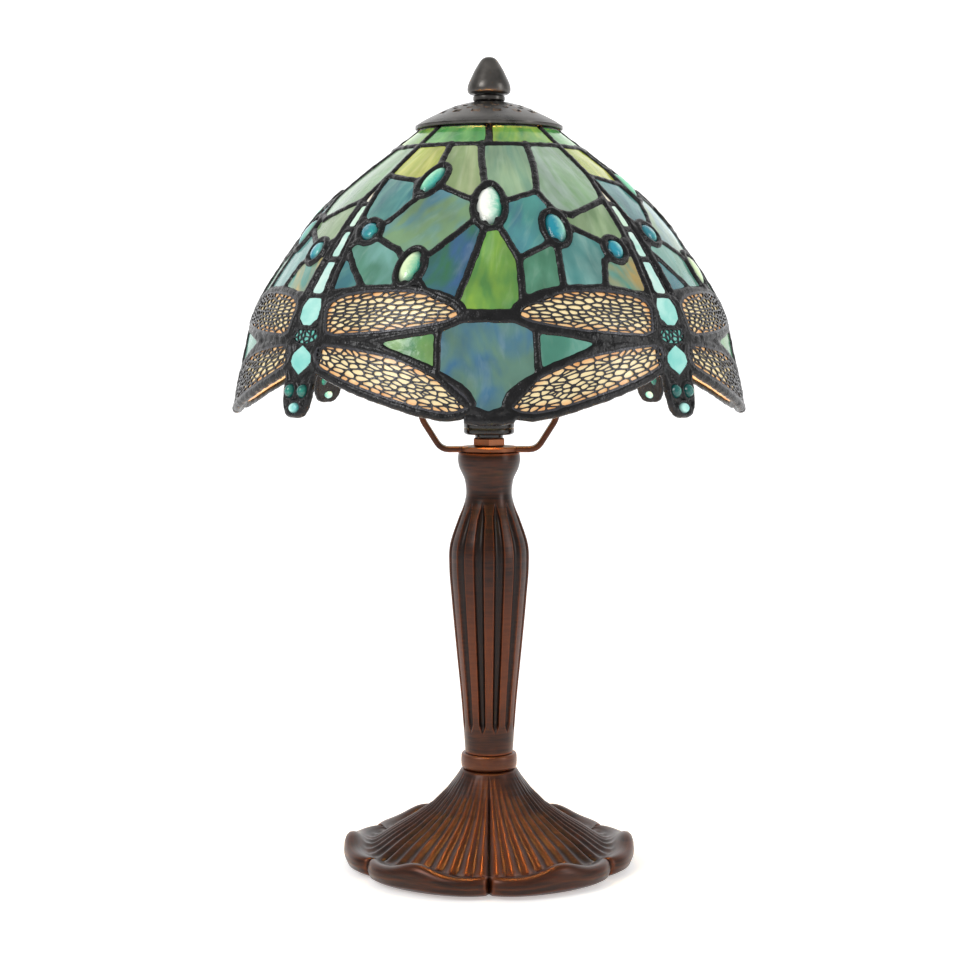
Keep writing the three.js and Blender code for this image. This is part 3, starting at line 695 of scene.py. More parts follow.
def sheet(loop, holes, inner, outer, spacing=3.5):
    """A closed sheet over a flat outline, bent to the dome between two offsets.

    Gives its points, its faces and the flat position of every point.
    """
    flat = []
    outlines = []
    for each in [loop] + holes:
        edge = refined(each, spacing)
        outlines.append(list(range(len(flat), len(flat) + len(edge))))
        flat.extend(edge)
    if not holes:
        flat.extend(filling(flat, spacing))
    within_outlines = 1
    result = delaunay_2d_cdt([Vector(p) for p in flat], [], outlines, within_outlines, 0.001)
    flat = [tuple(point) for point in result[0]]
    in_no_hole = [0]  # the outline alone, and none of the holes' own faces
    triangles = [list(face) for face, sources in zip(result[2], result[5]) if sources == in_no_hole]
    triangles = [t if area([flat[c] for c in t]) > 0 else t[::-1] for t in triangles]
    count = len(flat)
    directed = {(t[side], t[(side + 1) % 3]) for t in triangles for side in range(3)}
    faces = [[corner + count for corner in t] for t in triangles]
    faces.extend([t[::-1] for t in triangles])
    for start, end in directed:
        if (end, start) not in directed:
            faces.append([end + count, start + count, start, end])
    places = from_flat(flat)
    points = np.concatenate([on_dome(places, inner), on_dome(places, outer)])
    return points, faces, flat + flat


# ---- The pattern of the shade ----
# One sector, from the dragonfly at its left (-45 degrees) to the one at its right.

CROWN_RING = 134.5
CROWN_TOP = 146.0
CROWN_PANES = 8
JEWELS = {  # centre, half width and half height in millimetres, lean in degrees
    "j0": ((0, 102.6), 6.2, 9.8, 0),
    "j1": ((-21.6, 115.4), 4.0, 7.4, -28),
    "j2": ((19.2, 92.0), 5.0, 7.2, 4),
    "j3": ((-36.2, 90.8), 5.4, 4.2, -18),
    "j4": ((-19.7, 73.4), 5.0, 8.0, -16),
    "j5": ((35.6, 82.2), 4.6, 4.6, 20),
}
JEWEL_TINTS = {
    "j0": ("5fc49c", "fffff4"),
    "j1": ("17889a", "8fdcb4"),
    "j2": ("d4f4dc", "15899c"),
    "j3": ("14829c", "2b7f8e"),
    "j4": ("2f9f7c", "dcf0c0"),
    "j5": ("9cd4dc", "1f8ba0"),
}
JOINTS = dict(
    # where seams leave the crown ring, from left to right
    a=(-45, CROWN_RING), b=(-22.5, CROWN_RING), c=(-4.5, CROWN_RING), d=(21.8, CROWN_RING),
    e=(45, CROWN_RING),
    # where the two dragonflies' tails begin, and down along their inner sides
    f=(-45, 119), f1=(-42.2, 98), f2=(-41.3, 83), f3=(-40.6, 62),
    g=(45, 119), g1=(41.9, 107), g2=(41.6, 88), g3=(40.6, 60),
    # joints of the seams, from left to right
    h1=(-28, 115.5), h2=(-25.2, 106), h3=(-31, 96), h4=(-17.2, 112.5),
    h5=(-24.8, 82), h6=(-1.2, 92.5),
    k1=(7.6, 77.5), k2=(16.8, 85.5), k3=(18.3, 83), k4=(20, 124.5), k5=(16.6, 110),
    k6=(20.6, 100.5), k7=(25.5, 98.5), k8=(24.6, 92), k9=(31.2, 87), k10=(30.8, 76.5),
    # along the tops of the upper wings
    w1=(-31, 64), w2=(-20.5, 64.3), w3=(-15, 63), w4=(-7.6, 56.5), w5=(-5.8, 52.8),
    w6=(5.8, 52.8), w7=(7.6, 56.5), w8=(17.6, 63.6), w9=(28.4, 64.5),
    # between the wings and along the rim
    m1=(-27, 39.5), m2=(-19, 42.8), m3=(-11, 45.5), m4=(-11, 25), m5=(-19, 33),
    n1=(26, 39.5), n2=(19, 42.8), n3=(10.2, 45.5), n4=(10.2, 25), n5=(19, 33),
    u1=(-3.4, 9.5), u2=(0, 7), u3=(3.4, 9.5), u4=(-5.6, 50), u5=(5.6, 50),
)
SPOTS = {name: jewel[0] for name, jewel in JEWELS.items()} | JOINTS
# Each pane: its corners, its two tints and the direction its streaks run in, in degrees
FIELD_PANES = [
    ("a f h1 j1 b", "a3b23c", "cdcf6a", 70),
    ("b j1 h4 j0 c", "93ab74", "b3c191", 100),
    ("c j0 k5 k4 d", "7aa287", "9cb992", 95),
    ("d k4 k5 k6 k7 g1 g e", "86ab80", "a8bfae", 115),
    ("f f1 j3 h3 h2 h1", "3f7a80", "5f9a92", 60),
    ("h3 j3 h5 j4 j0 h4 j1 h2", "7c9f76", "5f93a0", 35),
    ("j4 w3 w4 h6 j0", "35704c", "3a6590", 60),
    ("h6 w4 w5 w6 w7 k1 j0", "5c964a", "90ba45", 80),
    ("j0 k1 k2 k3 j2 k6 k5", "477f8e", "4f9a92", 50),
    ("k1 w7 w8 k3 k2", "437a5e", "568f74", 80),
    ("k3 w8 w9 k10 j5 k9 k8 j2", "478784", "79a9a2", 100),
    ("k7 k6 j2 k8 k9 j5 g2 g1", "78966a", "9bb489", 70),
    ("j5 k10 w9 g3 g2", "c0a867", "519a8c", 105),
    ("j3 f2 w1 w2 j4 h5", "568f78", "75aaa0", 70),
    ("f1 f2 j3", "3f7a80", "5f9a92", 60),
    ("f2 f3 w1", "3c7a84", "5a9690", 50),
]
BELT_PANES = [
    ("m1 m5 m4 m3 m2", "3d8a5e", "7fae62", 95),
    ("n1 n2 n3 n4 n5", "4e917c", "67a493", 90),
    ("m3 m4 u1 u2 u3 n4 n3 u5 u4", "628979", "42728f", 92),
]
CROWN_TINTS = [("5a9a50", "9cbc4c"), ("4f9a52", "7cb86a")]

# The dragonfly, in degrees from its own middle line
UPPER_WING = [
    (7, 43), (14.5, 43.8), (21.5, 44.8), (28, 46.4), (34, 48.6), (37.6, 50.6), (38.8, 53.2),
    (36.2, 57), (32, 60), (27, 61.8), (21.5, 62.2), (15, 61.6), (9, 60), (5.6, 56.2), (6.2, 49),
]
LOWER_WING = [
    (5.4, 28.8), (9.8, 24.8), (14.5, 21.2), (19.5, 17.6), (24.4, 14.4), (29, 11.4), (33.2, 9.2),
    (37.6, 8), (40.8, 11), (39.6, 16), (35.2, 22), (30, 27.8), (23.6, 32.2), (17, 34.9),
    (10.8, 36.6), (5, 37.3), (4.6, 33),
]
HEAD_SIDE = [  # this and the tail's, from the bottom up
    (2.4, 4.4), (3.8, 9.5), (4.4, 17), (4.4, 22.5), (5.6, 28), (6.2, 36), (5.6, 44), (5.4, 53),
    (4.8, 60), (2.7, 62),
]
THORAX = [
    (2.3, 60), (3.5, 55.5), (3.2, 50), (1.4, 46.8), (-1.4, 46.8), (-3.2, 50), (-3.5, 55.5),
    (-2.3, 60),
]
LACE = [(3.7, 45.4), (-3.7, 45.4), (-4.8, 41), (-1.4, 38.4), (1.4, 38.4), (4.8, 41)]
DIAMOND = [(0, 37.4), (-4.5, 31.2), (0, 24.4), (4.5, 31.2)]
WING_ROOT = [
    (3.6, 30), (4.4, 37.6), (8, 39), (18, 38), (23, 40.8), (18, 42), (8, 41.8), (6, 44),
    (4.6, 56), (5.6, 58.5), (9.5, 63.5), (3.6, 63.5),
]
TAIL_SEGMENTS = [  # lower and upper height, half widths there in degrees, tint
    (61.5, 76.5, 1.9, 1.35, "a9dcd2"),
    (79.5, 91, 1.45, 1.15, "9fd6c6"),
    (94, 103.5, 1.35, 1.2, "bfe0c4"),
    (106, 114.5, 1.25, 0.55, "e9cfae"),
]
TAIL_SIDE = [(4.4, 60), (4.0, 83), (3.0, 98), (2.4, 108), (0.8, 120)]
EYES = [((2.05, 16.4), 2.9, 3.3, 0), ((-2.05, 16.4), 2.9, 3.3, 0)]
NOSE = ((0, 8.6), 3.9, 2.7, 0)


def pane_outline(corners):
    return anticlockwise(to_flat([SPOTS[name] for name in corners.split()]))


def tail_outline(segment):
    bottom, top, wide, narrow, _ = segment
    return to_flat([(-wide, bottom), (wide, bottom), (narrow, top), (-narrow, top)])


def at_dragonfly(jewel):
    """An eye or the nose, moved to the dragonfly at the sector's right."""
    (across, height), *shape = jewel
    return ((across + DRAGONFLY, height), *shape)


HEAD_OUTLINE = softened(to_flat(HEAD_SIDE + mirrored(HEAD_SIDE)))
HEAD_OPENINGS = [anticlockwise(to_flat(opening)) for opening in (THORAX, LACE, DIAMOND)]
TAIL_OUTLINE = to_flat(TAIL_SIDE + mirrored(TAIL_SIDE))
WINGS = [softened(to_flat(wing)) for wing in (UPPER_WING, LOWER_WING)]
MIRRORED_WINGS = [mirrored(wing) for wing in WINGS]


# ---- Glass panes ----


def add_to_shade(name, bundle, degrees, material, node=None, crease=40):
    """A piece of the shade, turned from the front to its own place round it."""
    add_piece(name, bundle.turned(degrees), material, "shade", node, crease)


def two_tints(points, tint, tint_two):
    """The same two tints at every point."""
    return {
        "tint": [colour(tint)[:3]] * len(points),
        "tint_two": [colour(tint_two)[:3]] * len(points),
    }


def add_pane(bundle, loop, tint, tint_two, direction=90, margin=0.7, layer=(-1.2, 1.2)):
    """One piece of flat glass, whose margin lies under the lead that holds it."""
    points, faces, flat = sheet(inset(loop, margin), [], *layer)
    angle = math.radians(direction)
    offset = chance.uniform(0, 500)
    flat = np.array(flat)
    along = flat @ (math.cos(angle), math.sin(angle))
    across = flat @ (-math.sin(angle), math.cos(angle))
    streak = np.stack([along, across, np.full(len(flat), offset)], axis=1)
    bundle.add(points, faces, streak=streak, **two_tints(points, tint, tint_two))


def crown_panes():
    pitch = 360 / CROWN_PANES
    side = pitch / 2
    corners = [(-side, CROWN_RING), (side, CROWN_RING), (side, CROWN_TOP), (-side, CROWN_TOP)]
    for index in range(CROWN_PANES):
        pane = Bundle()
        add_pane(pane, to_flat(corners), *CROWN_TINTS[index % 2], direction=12)
        name = f"crown_pane_{index + 1}"
        node = f"crown_glass_{index + 1}"
        add_to_shade(name, pane, (index + 0.5) * pitch, STREAKY, node)


def sector_panes(sector):
    """The large panes between two dragonflies."""
    for kind, panes in (("field", FIELD_PANES), ("belt", BELT_PANES)):
        bundle = Bundle()
        for corners, *look in panes:
            add_pane(bundle, pane_outline(corners), *look)
        name = f"{kind}_panes_{sector + 1}"
        node = f"{kind}_glass_{sector + 1}"
        add_to_shade(name, bundle, 90 * sector, STREAKY, node)


def dragonfly_glass(sector):
    """Tail segments, thorax, lace backing and diamond of one dragonfly."""
    degrees = 90 * sector + DRAGONFLY
    tail = Bundle()
    for segment in TAIL_SEGMENTS:
        add_pane(tail, tail_outline(segment), segment[-1], "d8efe4", margin=-0.3)
    node = f"dragonfly_tail_{sector + 1}"
    add_to_shade(f"tail_segments_{sector + 1}", tail, degrees, TURQUOISE, node)
    head = Bundle()
    thorax, lace, diamond = HEAD_OPENINGS
    add_pane(head, thorax, "8fd6cb", "b9ebe0", margin=-0.3)
    add_pane(head, lace, "5fb9ac", "8ad3c4", margin=-0.2, layer=(-1.2, 0.6))
    add_pane(head, diamond, "7fd0c6", "a9e3d8", margin=-0.2, layer=(-1.2, 1.7))
    node = f"dragonfly_head_{sector + 1}"
    add_to_shade(f"head_glass_{sector + 1}", head, degrees, TURQUOISE, node)


def add_wing_glass(bundle, loop):
    """Plain cream glass; "facing" holds how near a point is to the wing's edge."""
    points, faces, flat = sheet(inset(loop, -0.6), [], -1.1, 0.9, spacing=2.2)
    edge = np.array(refined(loop, 1.0))
    reach = 6.0
    facing = []
    for place in flat:
        distance = float(np.min(np.linalg.norm(edge - np.array(place), axis=1)))
        facing.append((0.0, 0.0, 1 - min(distance / reach, 1)))
    bundle.add(points, faces, facing=facing)


def wing_panes(sector):
    for side, wings in (("right", WINGS), ("left", MIRRORED_WINGS)):
        bundle = Bundle()
        for wing in wings:
            add_wing_glass(bundle, wing)
        name = f"{side}_wing_glass_{sector + 1}"
        node = f"{side}_wings_{sector + 1}"
        add_to_shade(name, bundle, 90 * sector + DRAGONFLY, WING, node)


def lens(spot, rise, fall):
    """An oval lens on the dome: its points, its faces and the way each point faces."""
    rings, sides = 13, 28
    centre, half_width, half_height, lean = spot
    dip = np.repeat(np.linspace(-0.5, 0.5, rings), sides) * math.pi
    angle = np.tile(np.linspace(0, math.tau, sides, endpoint=False), rings)
    spread = np.abs(np.cos(dip)) ** 0.8
    across, up = spread * np.cos(angle), spread * np.sin(angle)
    flat = leaned_flat(zip(half_width * across, half_height * up), centre, lean)
    points = on_dome(from_flat(flat), np.sin(dip) * np.where(dip > 0, rise, fall))
    faces = grid_faces(rings, sides)
    faces.append(list(range(sides))[::-1])
    faces.append([(rings - 1) * sides + side for side in range(sides)])
    return points, faces, np.stack([across, up, spread], axis=1)


def add_jewel(bundle, spot, tints, rise=3.6):
    points, faces, facing = lens(spot, rise, fall=2.2)
    bundle.add(points, faces, facing=facing, **two_tints(points, *tints))


def jewels(sector):
    """The jewels of one sector, and the eyes and nose of the dragonfly at its right."""
    bundle = Bundle()
    for name, jewel in JEWELS.items():
        add_jewel(bundle, jewel, JEWEL_TINTS[name])
    for eye in EYES:
        add_jewel(bundle, at_dragonfly(eye), ("083032", "145e5a"), rise=4.2)
    add_jewel(bundle, at_dragonfly(NOSE), ("6fc4d4", "b4e8e0"), rise=3.0)
    name = f"jewels_{sector + 1}"
    add_to_shade(name, bundle, 90 * sector, JEWEL, crease=80)


# ---- Lead: seams, borders and filigree ----

SEAM_WIDTH = 4.6
SOLDER_RISE = 2.3  # of a seam's crest, outward from the glass's middle
SOLDER_FALL = 1.8
SOLDER_LUMPS = 0.28
LUMP_SIZE = 3.5
LEAD_VOXEL = 0.69
WING_BORDER = 4.6
WING_LEANS = (4, -17)  # degrees that the cells of the upper and lower wings lean by
WING_CELLS = 108
WING_RIB = 0.62
WING_PLATE = (0.95, 1.75)  # its inner and outer faces, outward from the glass's middle
LACE_CELLS = 16
LACE_RIB = 0.5
LACE_PLATE = (0.7, 1.6)
SMALLEST_CELL = 0.35  # in square millimetres
CELL_STRETCH = 2.5
SEED_TRIES = 10
NEIGHBOURS = 21  # how many near seeds may bound a cell


def add_bead(bundle, loop, width=SEAM_WIDTH, rise=SOLDER_RISE, closed=True):
    """A rounded bead of solder along a flat outline."""
    places = from_flat(refined(loop, 1.6, closed))
    section = oval(1, 1, 10)
    section[:, 0] *= np.where(section[:, 0] > 0, rise, SOLDER_FALL)
    section[:, 1] *= width / 2
    bundle.add(*sweep(on_dome(places), dome_normal(places), section, closed))


def add_sheet(bundle, loop, holes, inner, outer, spacing=3.5):
    points, faces, _ = sheet(loop, holes, inner, outer, spacing)
    bundle.add(points, faces)


def add_blob(bundle, centre):
    """A flattened drop of solder where seams meet."""
    radius = 2.3
    points, faces, _ = lens((centre, radius, radius, 0), rise=2.2, fall=2.0)
    bundle.add(points, faces)


def oval_round(jewel, margin):
    centre, half_width, half_height, lean = jewel
    return leaned_flat(oval(half_width + margin, half_height + margin, 24), centre, lean)


def add_dragonfly_lead(bundle):
    """The borders of the wings, and the plates that carry the tail, body and head."""
    for wing in WINGS + MIRRORED_WINGS:
        border = moved(inset(wing, 0.1 - WING_BORDER / 2), DRAGONFLY)
        add_bead(bundle, border, width=WING_BORDER, rise=2.2)
    root = anticlockwise(to_flat(WING_ROOT))
    for loop in (root, mirrored(root)):
        add_sheet(bundle, moved(loop, DRAGONFLY), [], -1.4, 1.3)
    openings = [moved(opening, DRAGONFLY) for opening in HEAD_OPENINGS]
    add_sheet(bundle, moved(HEAD_OUTLINE, DRAGONFLY), openings, -1.5, 0.6)
    add_bead(bundle, moved(inset(HEAD_OUTLINE, 0.8), DRAGONFLY), width=2.6, rise=2.0)
    for opening in openings:
        add_bead(bundle, opening, width=1.5, rise=2.0)
    segments = [moved(tail_outline(segment), DRAGONFLY) for segment in TAIL_SEGMENTS]
    add_sheet(bundle, moved(TAIL_OUTLINE, DRAGONFLY), segments, -1.5, 0.8)
    for segment in segments:
        add_bead(bundle, inset(segment, -0.7), width=2.3, rise=1.9)
    for jewel in EYES + [NOSE]:
        add_bead(bundle, oval_round(at_dragonfly(jewel), 0.5), width=1.8, rise=2.2)


def leading_bundle():
    """Every seam of one sector, and the dragonfly at its right."""
    bundle = Bundle()
    for corners, *_ in FIELD_PANES + BELT_PANES:
        add_bead(bundle, pane_outline(corners))
    for jewel in JEWELS.values():
        add_bead(bundle, oval_round(jewel, 1.3), width=4.2, rise=3.0)
    for joint in JOINTS.values():
        add_blob(bundle, joint)
    top = CROWN_TOP - 0.6
    open_seams = [
        ([(-45.2, CROWN_RING), (45.2, CROWN_RING)], 4.2),
        ([(-45.2, top), (45.2, top)], 3.6),
        ([(-45, CROWN_RING), (-45, top)], SEAM_WIDTH),
        ([(0, CROWN_RING), (0, top)], SEAM_WIDTH),
        ([(-7, 51.4), (7, 51.4)], 5.2),
        ([(-5, 5.4), (-2.5, 4.4), (2.5, 4.4), (5, 5.4)], SEAM_WIDTH),
    ]
    for places, width in open_seams:
        add_bead(bundle, to_flat(places), width, closed=False)
    add_dragonfly_lead(bundle)
    return bundle


def soldered(bundle):
    """The overlapping beads run together into one skin, uneven as hand work is."""
    rough = new_object("solder_rough", bundle.points, bundle.faces)
    remesh = rough.modifiers.new("fuse", "REMESH")
    remesh.mode = "VOXEL"
    remesh.voxel_size = LEAD_VOXEL * MM
    smooth = rough.modifiers.new("melt", "SMOOTH")
    smooth.factor = 0.5
    smooth.iterations = 3
    bpy.context.view_layer.update()
    fused = rough.evaluated_get(bpy.context.evaluated_depsgraph_get()).to_mesh()
    points = np.array([vertex.co for vertex in fused.vertices]) / MM
    normals = np.array([vertex.normal for vertex in fused.vertices])
    faces = [list(polygon.vertices) for polygon in fused.polygons]
    bpy.data.objects.remove(rough)
    lumps = np.array([noise.noise(Vector(point) / LUMP_SIZE) for point in points])
    return Bundle().add(points + normals * (SOLDER_LUMPS * lumps)[:, None], faces)


def leading():
    fused = soldered(leading_bundle())
    for sector in range(SECTORS):
        name = f"leading_{sector + 1}"
        add_to_shade(name, fused, 90 * sector, SOLDER, "shade_leading", crease=70)


def leaned_step(first, second, lean):
    """The way from one point to another, as its parts along a lean and across it."""
    dx, dy = second[0] - first[0], second[1] - first[1]
    along = dx * math.cos(lean) + dy * math.sin(lean)
    return along, dy * math.cos(lean) - dx * math.sin(lean)


def leaned_gap(first, second, stretch, lean):
    """Squared distance between two points, with the direction of the lean shrunk."""
    along, across = leaned_step(first, second, lean)
    along /= stretch
    return along * along + across * across


def scattered_seeds(loop, count, stretch, lean):
    """Points spread over an outline, further apart along the lean than across it."""
    corners = np.array(loop)
    (left, bottom), (right, top) = corners.min(0), corners.max(0)
    seeds = []

    def room(place):
        return min((leaned_gap(place, seed, stretch, lean) for seed in seeds), default=1.0)

    while len(seeds) < count:
        tries = []
        for _ in range(SEED_TRIES):
            tries.append((chance.uniform(left, right), chance.uniform(bottom, top)))
        tries = [place for place in tries if inside(place, loop)]
        if tries:
            seeds.append(max(tries, key=room))
    return seeds


def filigree_cells(loop, count, stretch, lean, rib):
    """Openings of a wing's filigree: the cells round scattered seeds, less a thin rib."""
    seeds = scattered_seeds(loop, count, stretch, lean)
    cells = []
    for seed in seeds:
        nearest = sorted(seeds, key=lambda other: leaned_gap(seed, other, stretch, lean))
        cell = [tuple(corner) for corner in loop]
        for other in nearest[1:NEIGHBOURS + 1]:
            along, across = leaned_step(seed, other, lean)
            along /= stretch ** 2
            normal = np.array([
                along * math.cos(lean) - across * math.sin(lean),
                along * math.sin(lean) + across * math.cos(lean),
            ])
            normal /= np.linalg.norm(normal)
            middle = (np.array(seed) + np.array(other)) / 2 - normal * rib / 2
            cell = clipped(cell, middle, normal)
        if len(cell) > 2 and area(cell) > SMALLEST_CELL:
            cells.append(softened(simplified(cell, 0.4)))
    return cells


def simplified(loop, spacing):
    """The outline without corners that crowd closer than the spacing."""
    kept = [loop[0]]
    for corner in loop[1:]:
        if math.dist(corner, kept[-1]) > spacing:
            kept.append(corner)
    if len(kept) > 3 and math.dist(kept[0], kept[-1]) < spacing:
        kept.pop()
    return kept


def filigree_bundle():
    """The pierced plates over one dragonfly's four wings and its lace."""
    bundle = Bundle()
    for wing, lean in zip(WINGS, WING_LEANS):
        cells = filigree_cells(wing, WING_CELLS, CELL_STRETCH, math.radians(lean), WING_RIB)
        mirrored_cells = [mirrored(cell) for cell in cells]
        add_sheet(bundle, inset(wing, -1.2), cells, *WING_PLATE, spacing=2.5)
        add_sheet(bundle, inset(mirrored(wing), -1.2), mirrored_cells, *WING_PLATE, spacing=2.5)
    lace = to_flat(LACE)
    cells = filigree_cells(lace, LACE_CELLS, 1.0, 0.0, LACE_RIB)
    add_sheet(bundle, lace, cells, *LACE_PLATE, spacing=2.5)
    return bundle


def filigree():
    plates = filigree_bundle()
    for sector in range(SECTORS):
        add_to_shade(f"filigree_{sector + 1}", plates, 90 * sector + DRAGONFLY, SOLDER)


# ---- Base and stem ----

PETALS = 6
PETAL_FLUTES = 8
PETAL_FLUTE_DEPTH = 1.5
PETAL_SEAM = 0.012  # half width of the groove between petals, as a share of a petal
PETAL_SEAM_DEPTH = 0.9
PETAL_NOTCH = 5.0  # how far the lip is drawn in where two petals meet
PETAL_SEAM_NOTCH = 3.2  # and how much further the groove itself cuts in
DISH_RADIUS = 57.8  # the petals' lips lie outside it
LIP_RADIUS = 75.0
LIP_HEIGHT = 9.6
LIP_RISE = 4.6  # of the lip in the middle of each petal
NECK_RADIUS = 15.0
ROD_HOLE = 5.3

FLUTES = 12
FLUTE_ENDS = (12.0, 129.0)  # heights on the stem
FLUTE_WIDTH = 0.5  # share of a flute's pitch that is hollow
FLUTE_DEPTH = 2.1


def petal_hollow(points):
    """Depth of the petals' flutes, and of the seams between petals, from 0 to 1."""
    radius = np.hypot(points[:, 0], points[:, 1])
    share = pitch_share(points, PETALS)
    fluted_zone = ramp(radius, NECK_RADIUS, 24) * ramp(radius, 66, 58)
    valley = (0.5 + 0.5 * np.cos(math.tau * share * PETAL_FLUTES)) ** 0.8 * fluted_zone
    from_seam = np.minimum(share, 1 - share)
    return valley, np.exp(-((from_seam / PETAL_SEAM) ** 2))


def petal_shape(points):
    """Six dished petals: drawn in between, raised in the middle of the lip, and fluted."""
    x, y, z = points.T
    radius = np.hypot(x, y)
    across = 2 * pitch_share(points, PETALS) - 1
    valley, seam = petal_hollow(points)
    notch = PETAL_NOTCH * np.abs(across) ** 5 + PETAL_SEAM_NOTCH * seam
    drawn = ramp(radius, DISH_RADIUS, LIP_RADIUS) * notch
    rim = ramp(radius, 58, 70)
    rim = rim * rim * (3 - 2 * rim)
    height_share = np.where(radius > 70, ramp(z, 0, LIP_HEIGHT), 1.0)
    rise = LIP_RISE * rim * height_share * np.exp(-((across / 0.34) ** 2))
    underside = 3.6 + 0.37 * np.clip(57 - radius, 0, 40)
    on_top = (radius > NECK_RADIUS) & (z > underside)
    flute_depth = PETAL_FLUTE_DEPTH * valley * np.clip(radius / 40, 0.4, 1)
    depth = np.where(on_top, flute_depth + PETAL_SEAM_DEPTH * seam, 0.0)
    scale = 1 - drawn / np.maximum(radius, 1)
    return np.stack([x * scale, y * scale, z + rise - depth], axis=1)


def base_patina_shade_and_glow(points):
    """Dark in the hollows, partly patina and partly painted shade, and a painted warm glow in
    copper towards the front, standing in for the lamp's light reflected there.
    """
    points = np.array(points)
    valley, seam = petal_hollow(points)
    radius = np.hypot(points[:, 0], points[:, 1])
    angle = np.degrees(np.arctan2(points[:, 0], -points[:, 1]))
    # Painted glow: copper towards the front only, standing in for the lamp's warm light reflected
    # on the base.
    front = np.exp(-((angle / 30) ** 2)) * ramp(radius, 14, 32)
    copper = 0.62 * front * ramp(radius, 72, 64) * (1 - 0.35 * valley)
    # Painted shade over the patina: the hollows and seams are darkened.
    hollow = np.clip(0.6 * valley + 0.7 * seam, 0, 1)
    return np.stack([hollow, copper, np.zeros(len(points))], axis=1)


def base():
    top = [
        (71, 0), (73.6, 1.4), (75, 4.4), (74.8, 6.6), (73.9, 8.4), (72.3, 9.4), (70.4, 9.6),
        (68.2, 9.1), (66, 8.2), (63.6, 7.8), (61, 8.6), (57, 11), (50, 15.8), (40, 21.9),
        (30, 28.9), (22, 37), (17.6, 42.8), (15.4, 46), (14.6, 47.4), (13.4, 48),
    ]
    underside = [
        (ROD_HOLE, 48), (ROD_HOLE, 28), (15, 28), (28, 24), (46, 11.5), (57, 3.5), (57.2, 0.4),
        (57.6, 0),
    ]
    outline = refined(top, 1.1, closed=False) + underside
    points, faces = turned(outline, low("base"), PETALS * PETAL_FLUTES * 12, petal_shape)
    bundle = Bundle().add(points, faces, finish=base_patina_shade_and_glow(points))
    add_piece("base_casting", bundle, BRONZE, "lamp_body", "base", crease=50)


def flute_hollow(points, bottom=0.0):
    """Depth of the stem's flutes from 0 to 1; each runs out to a point at both ends."""
    height = points[:, 2] - bottom
    start, end = FLUTE_ENDS
    run_out = np.minimum(ramp(height, start, start + 4), ramp(height, end, end - 8)) ** 0.6
    half_width = np.maximum(FLUTE_WIDTH / 2 * run_out, 0.001)
    from_middle = (pitch_share(points, FLUTES) - 0.5) / half_width
    return np.sqrt(np.clip(1 - from_middle ** 2, 0, 1)) * run_out


def fluted(points):
    radius = np.hypot(points[:, 0], points[:, 1])
    depth = np.where(radius > 8, FLUTE_DEPTH * flute_hollow(points), 0.0)
    scale = 1 - depth / np.maximum(radius, 1)
    return np.stack([points[:, 0] * scale, points[:, 1] * scale, points[:, 2]], axis=1)


def stem_patina_shade_and_wear(points):
    """Dark in the flutes, partly patina and partly painted shade, and copper rubbed through on the
    ribs of the lower half.
    """
    points = np.array(points)
    # Painted shade over the patina: the flutes are darkened.
    hollow = flute_hollow(points, low("stem"))
    height = points[:, 2] - low("stem")
    rubbed = 0.3 * ramp(height, 8, 28) * ramp(height, 95, 55)
    return np.stack([hollow, rubbed * (hollow == 0), np.zeros(len(points))], axis=1)


def stem():
    length = 154.6
    profile = [
        (0, 12.3), (24, 14), (55, 17), (80, 19.3), (96, 20.5), (106, 20.3), (120, 16),
        (129, 12.6), (133, 11.8), (137, 11.9), (141, 12.6), (147.5, 15.4), (152.5, 16),
        (length, 15.6),
    ]
    heights, radii = smooth_curve(profile, 190)
    outline = [(ROD_HOLE, 0)] + list(zip(radii, heights)) + [(ROD_HOLE, length)]
    points, faces = turned(outline, low("stem"), FLUTES * 24, fluted)
    bundle = Bundle().add(points, faces, finish=stem_patina_shade_and_wear(points))
    add_piece("stem_casting", bundle, BRONZE, "lamp_body", "stem", crease=32)


def collar_ring():
    outline = [(ROD_HOLE, 0), (14.2, 0), (14.5, 4), (14.2, 8), (ROD_HOLE, 8)]
    outline = rounded(outline, 1.5)
    add_turned_piece("collar_ring_turned", "collar_ring", outline, COPPER, crease=40)


# ---- Harp, lampholder and bulb ----


def harp():
    """A bent strip, and the round plate that holds it on the stem."""
    half_span, half = 35, 1.4
    top = 169.5 - half
    side = [(0, half), (24.5, half), (half_span, 17.8), (half_span, 139), (12, top), (0, top)]
    path = rounded(side + mirrored(side)[1:-1], 4)
    path = [(x, 0, z + low("harp")) for x, z in path]
    section = rounded([(-5, -half), (5, -half), (5, half), (-5, half)], 0.7, 3)
    plate = [(ROD_HOLE, 0), (14, 0), (14.6, 0.6), (14.6, 2.3), (14, 2.9), (ROD_HOLE, 2.9)]
    bundle = Bundle().add(*sweep(path, [(0, 1, 0)], section, closed=True))
    bundle.add(*turned(plate, low("harp"), 72))
    add_piece("harp_strip", bundle, COPPER, "lamp_body", "harp")


def harp_nut():
    outline = [(ROD_HOLE, 0), (8.1, 0), (9, 0.6), (9, 3.6), (8.1, 4.2), (ROD_HOLE, 4.2)]
    add_turned_piece("harp_nut_hex", "harp_nut", outline, COPPER, segments=6, crease=20)


def lampholder():
    foot = [
        (ROD_HOLE, 0), (7.2, 0), (7.2, 1.5), (12, 1.5), (13, 2.5), (13, 4.4), (12.6, 4.8),
        (13, 5.2), (13, 11.5), (10, 11.5), (10, 9), (ROD_HOLE, 9),
    ]
    foot = rounded(foot, 0.35, 2)
    add_turned_piece("holder_foot", "lampholder_base", foot, PLASTIC)
    shell = [(11.2, 0), (13, 0)]
    for groove in range(5):
        height = 4 + 2.4 * groove
        shell += [(13, height), (12.4, height + 0.5), (12.4, height + 1), (13, height + 1.5)]
    shell += [(13, 36.8), (12.2, 38.2), (9.3, 38.2), (9.3, 36.4), (11.2, 36.4)]
    shell = rounded(shell, 0.35, 2)
    add_turned_piece("holder_shell", "lampholder_shell", shell, PLASTIC)


